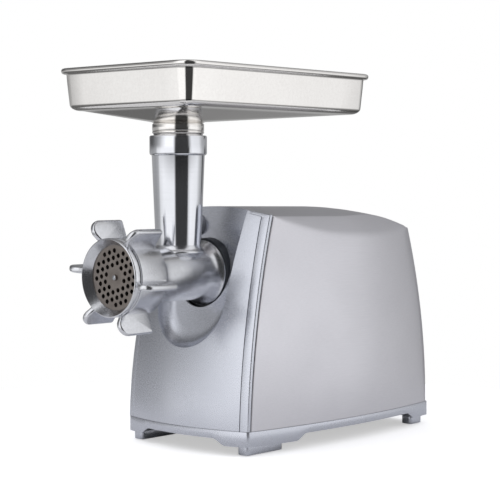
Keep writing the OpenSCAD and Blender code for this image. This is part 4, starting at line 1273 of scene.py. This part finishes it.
@dataclass
class Studio:
    """Camera, pale floor, soft lights and the room that polished metal mirrors."""

    place: Point = (1.1205, -1.2425, 0.2765)
    tilt: float = 90 - 2.48
    turn: float = 42.08
    lens: float = 110.8
    film: float = 36.0
    floor_r: float = 0.5
    floor_glow: float = 0.5
    fill: float = 0.75
    # Each lamp's name, place, size and power.
    lit_by: tuple[tuple[str, Point, float, float], ...] = (
        ("key_lamp", (-0.9, -1.1, 1.5), 1.4, 11.0), ("side_lamp", (1.6, 0.3, 1.1), 1.2, 7.0))
    aim: Point = (0, 0, 0.2)
    # Brightness of the room by compass direction, from -Y towards +X, in degrees.
    room: tuple[Flat, ...] = (
        (-180, 0.10), (-168, 0.36), (-120, 0.44), (-78, 0.40), (-56, 0.52), (-48, 0.98), (-40, 1.06),
        (-26, 1.22), (26, 1.2), (33, 0.05), (88, 0.05), (94, 0.95), (105, 1.2), (138, 1.1), (158, 0.6),
        (172, 0.45), (176, 0.05), (180, 0.08))
    # The same for the ceiling, and the sines of elevation between which it takes over.
    ceiling: tuple[Flat, ...] = (
        (-180, 0.42), (-90, 0.10), (-73, 0.16), (-51, 0.36), (-36, 0.60), (-22, 1.02), (-7, 1.38),
        (24, 1.38), (34, 0.05), (84, 0.05), (100, 1.12), (136, 1.02), (154, 0.56), (180, 0.42))
    ceiling_from: float = -0.03
    ceiling_to: float = 0.07
    # The dark ground round the floor: the sines of elevation where it starts and is full, and its share.
    ground_from: float = -0.25
    ground_full: float = -0.42
    ground_share: float = 0.35
    # A ramp's colours stay below one, so it holds this part of each brightness.
    held: float = 0.5
    tint: Point = (0.985, 0.99, 1.0)

    def build(self) -> None:
        """Sets the camera, floor, lamps and world."""
        self.camera()
        self.floor()
        self.lamps()
        self.world()
        bpy.context.scene.view_settings.view_transform = "Standard"

    def camera(self) -> None:
        """The camera at the working angle."""
        bpy.ops.object.camera_add(location=self.place,
                                  rotation=(math.radians(self.tilt), 0, math.radians(self.turn)))
        camera = bpy.context.object
        camera.name = "camera"
        camera.data.lens = self.lens
        camera.data.sensor_width = self.film
        camera.data.sensor_fit = "HORIZONTAL"
        bpy.context.scene.camera = camera

    def floor(self) -> None:
        """A pale round floor, white to the camera wherever the object's shadow doesn't fall."""
        bpy.ops.mesh.primitive_circle_add(vertices=96, radius=self.floor_r, fill_type="NGON")
        floor = bpy.context.object
        floor.name = "floor"
        made = bpy.data.materials.new("floor_white_paper")
        tree = emptied(made)
        paper = add(tree, "BsdfDiffuse", {"Color": srgb("#E4E4E6")})
        glow = add(tree, "Emission", {"Color": srgb("#FFFFFF"), "Strength": self.floor_glow})
        lit = add(tree, "AddShader", {0: (paper, 0), 1: (glow, 0)})
        path = add(tree, "LightPath")
        mixed = add(tree, "MixShader", {0: (path, "Is Camera Ray"), 1: (paper, 0), 2: (lit, 0)})
        add(tree, "OutputMaterial", {"Surface": (mixed, 0)})
        floor.data.materials.append(made)

    def lamps(self) -> None:
        """A large soft lamp high on the left and a weaker one on the right, unseen by mirrors."""
        for name, place, size, power in self.lit_by:
            way = Vector(self.aim) - Vector(place)
            bpy.ops.object.light_add(type="AREA", location=place,
                                     rotation=way.to_track_quat("-Z", "Y").to_euler())
            lamp = bpy.context.object
            lamp.name = name
            lamp.data.size = size
            lamp.data.energy = power
            lamp.visible_glossy = False

    def _ramp(self, tree: Tree, share: Output, levels: Sequence[Flat]) -> Output:
        """A colour ramp round the compass.

        Args:
            tree: the world's node tree.
            share: the node and output that give the compass direction from 0 to 1.
            levels: (degrees, brightness) pairs from -180 to 180.

        Returns:
            The ramp and its colour output.
        """
        ramp = add(tree, "ValToRGB", {"Fac": share})
        stops = ramp.color_ramp.elements
        for angle, level in levels:
            spot = (angle + 180) / 360
            stop = {0.0: stops[0], 1.0: stops[len(stops) - 1]}.get(spot) or stops.new(spot)
            stop.color = (*(level * self.held * c for c in self.tint), 1)
        return ramp, 0

    def world(self) -> None:
        """White to the camera; to metal, a room of light walls and dark flags."""
        world = bpy.data.worlds.new("studio")
        bpy.context.scene.world = world
        tree = emptied(world)
        way = add(tree, "TexCoord")
        parts = add(tree, "SeparateXYZ", {0: (way, "Generated")})
        back = add(tree, "Math", {0: (parts, "Y"), 1: -1.0}, operation="MULTIPLY")
        compass = add(tree, "Math", {0: (parts, "X"), 1: (back, 0)}, operation="ARCTAN2")
        share = mapped(tree, (compass, 0), -math.pi, math.pi)
        walls, lid = (self._ramp(tree, share, levels) for levels in (self.room, self.ceiling))
        height = mapped(tree, (parts, "Z"), self.ceiling_from, self.ceiling_to)
        dome = add(tree, "Mix", {"Factor": height, 6: walls, 7: lid}, data_type="RGBA")
        dim = mapped(tree, (parts, "Z"), self.ground_full, self.ground_from,
                     self.ground_share / self.held, 1 / self.held)
        seen = add(tree, "Background", {"Color": srgb("#FFFFFF"), "Strength": 1.0})
        mirrored_room = add(tree, "Background", {"Color": (dome, 2), "Strength": dim})
        fill = add(tree, "Background", {"Color": srgb("#F4F5F8"), "Strength": self.fill})
        path = add(tree, "LightPath")
        inner = add(tree, "MixShader", {
            0: (path, "Is Glossy Ray"), 1: (fill, 0), 2: (mirrored_room, 0)})
        outer = add(tree, "MixShader", {0: (path, "Is Camera Ray"), 1: (inner, 0), 2: (seen, 0)})
        add(tree, "OutputWorld", {"Surface": (outer, 0)})


def main() -> None:
    """Builds the studio and every sub-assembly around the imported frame."""
    logging.basicConfig(level=logging.INFO, format="%(message)s")
    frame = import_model()
    for assembly in (Studio(), MotorBody(), GrindingHead(), ScrewRing(), FeedTray(), ReleaseButton()):
        assembly.build()
    inner = InnerWorks()
    inner.dress(frame["nodes"])
    inner.spring_back(frame["nodes"])


if __name__ == "__main__":
    main()
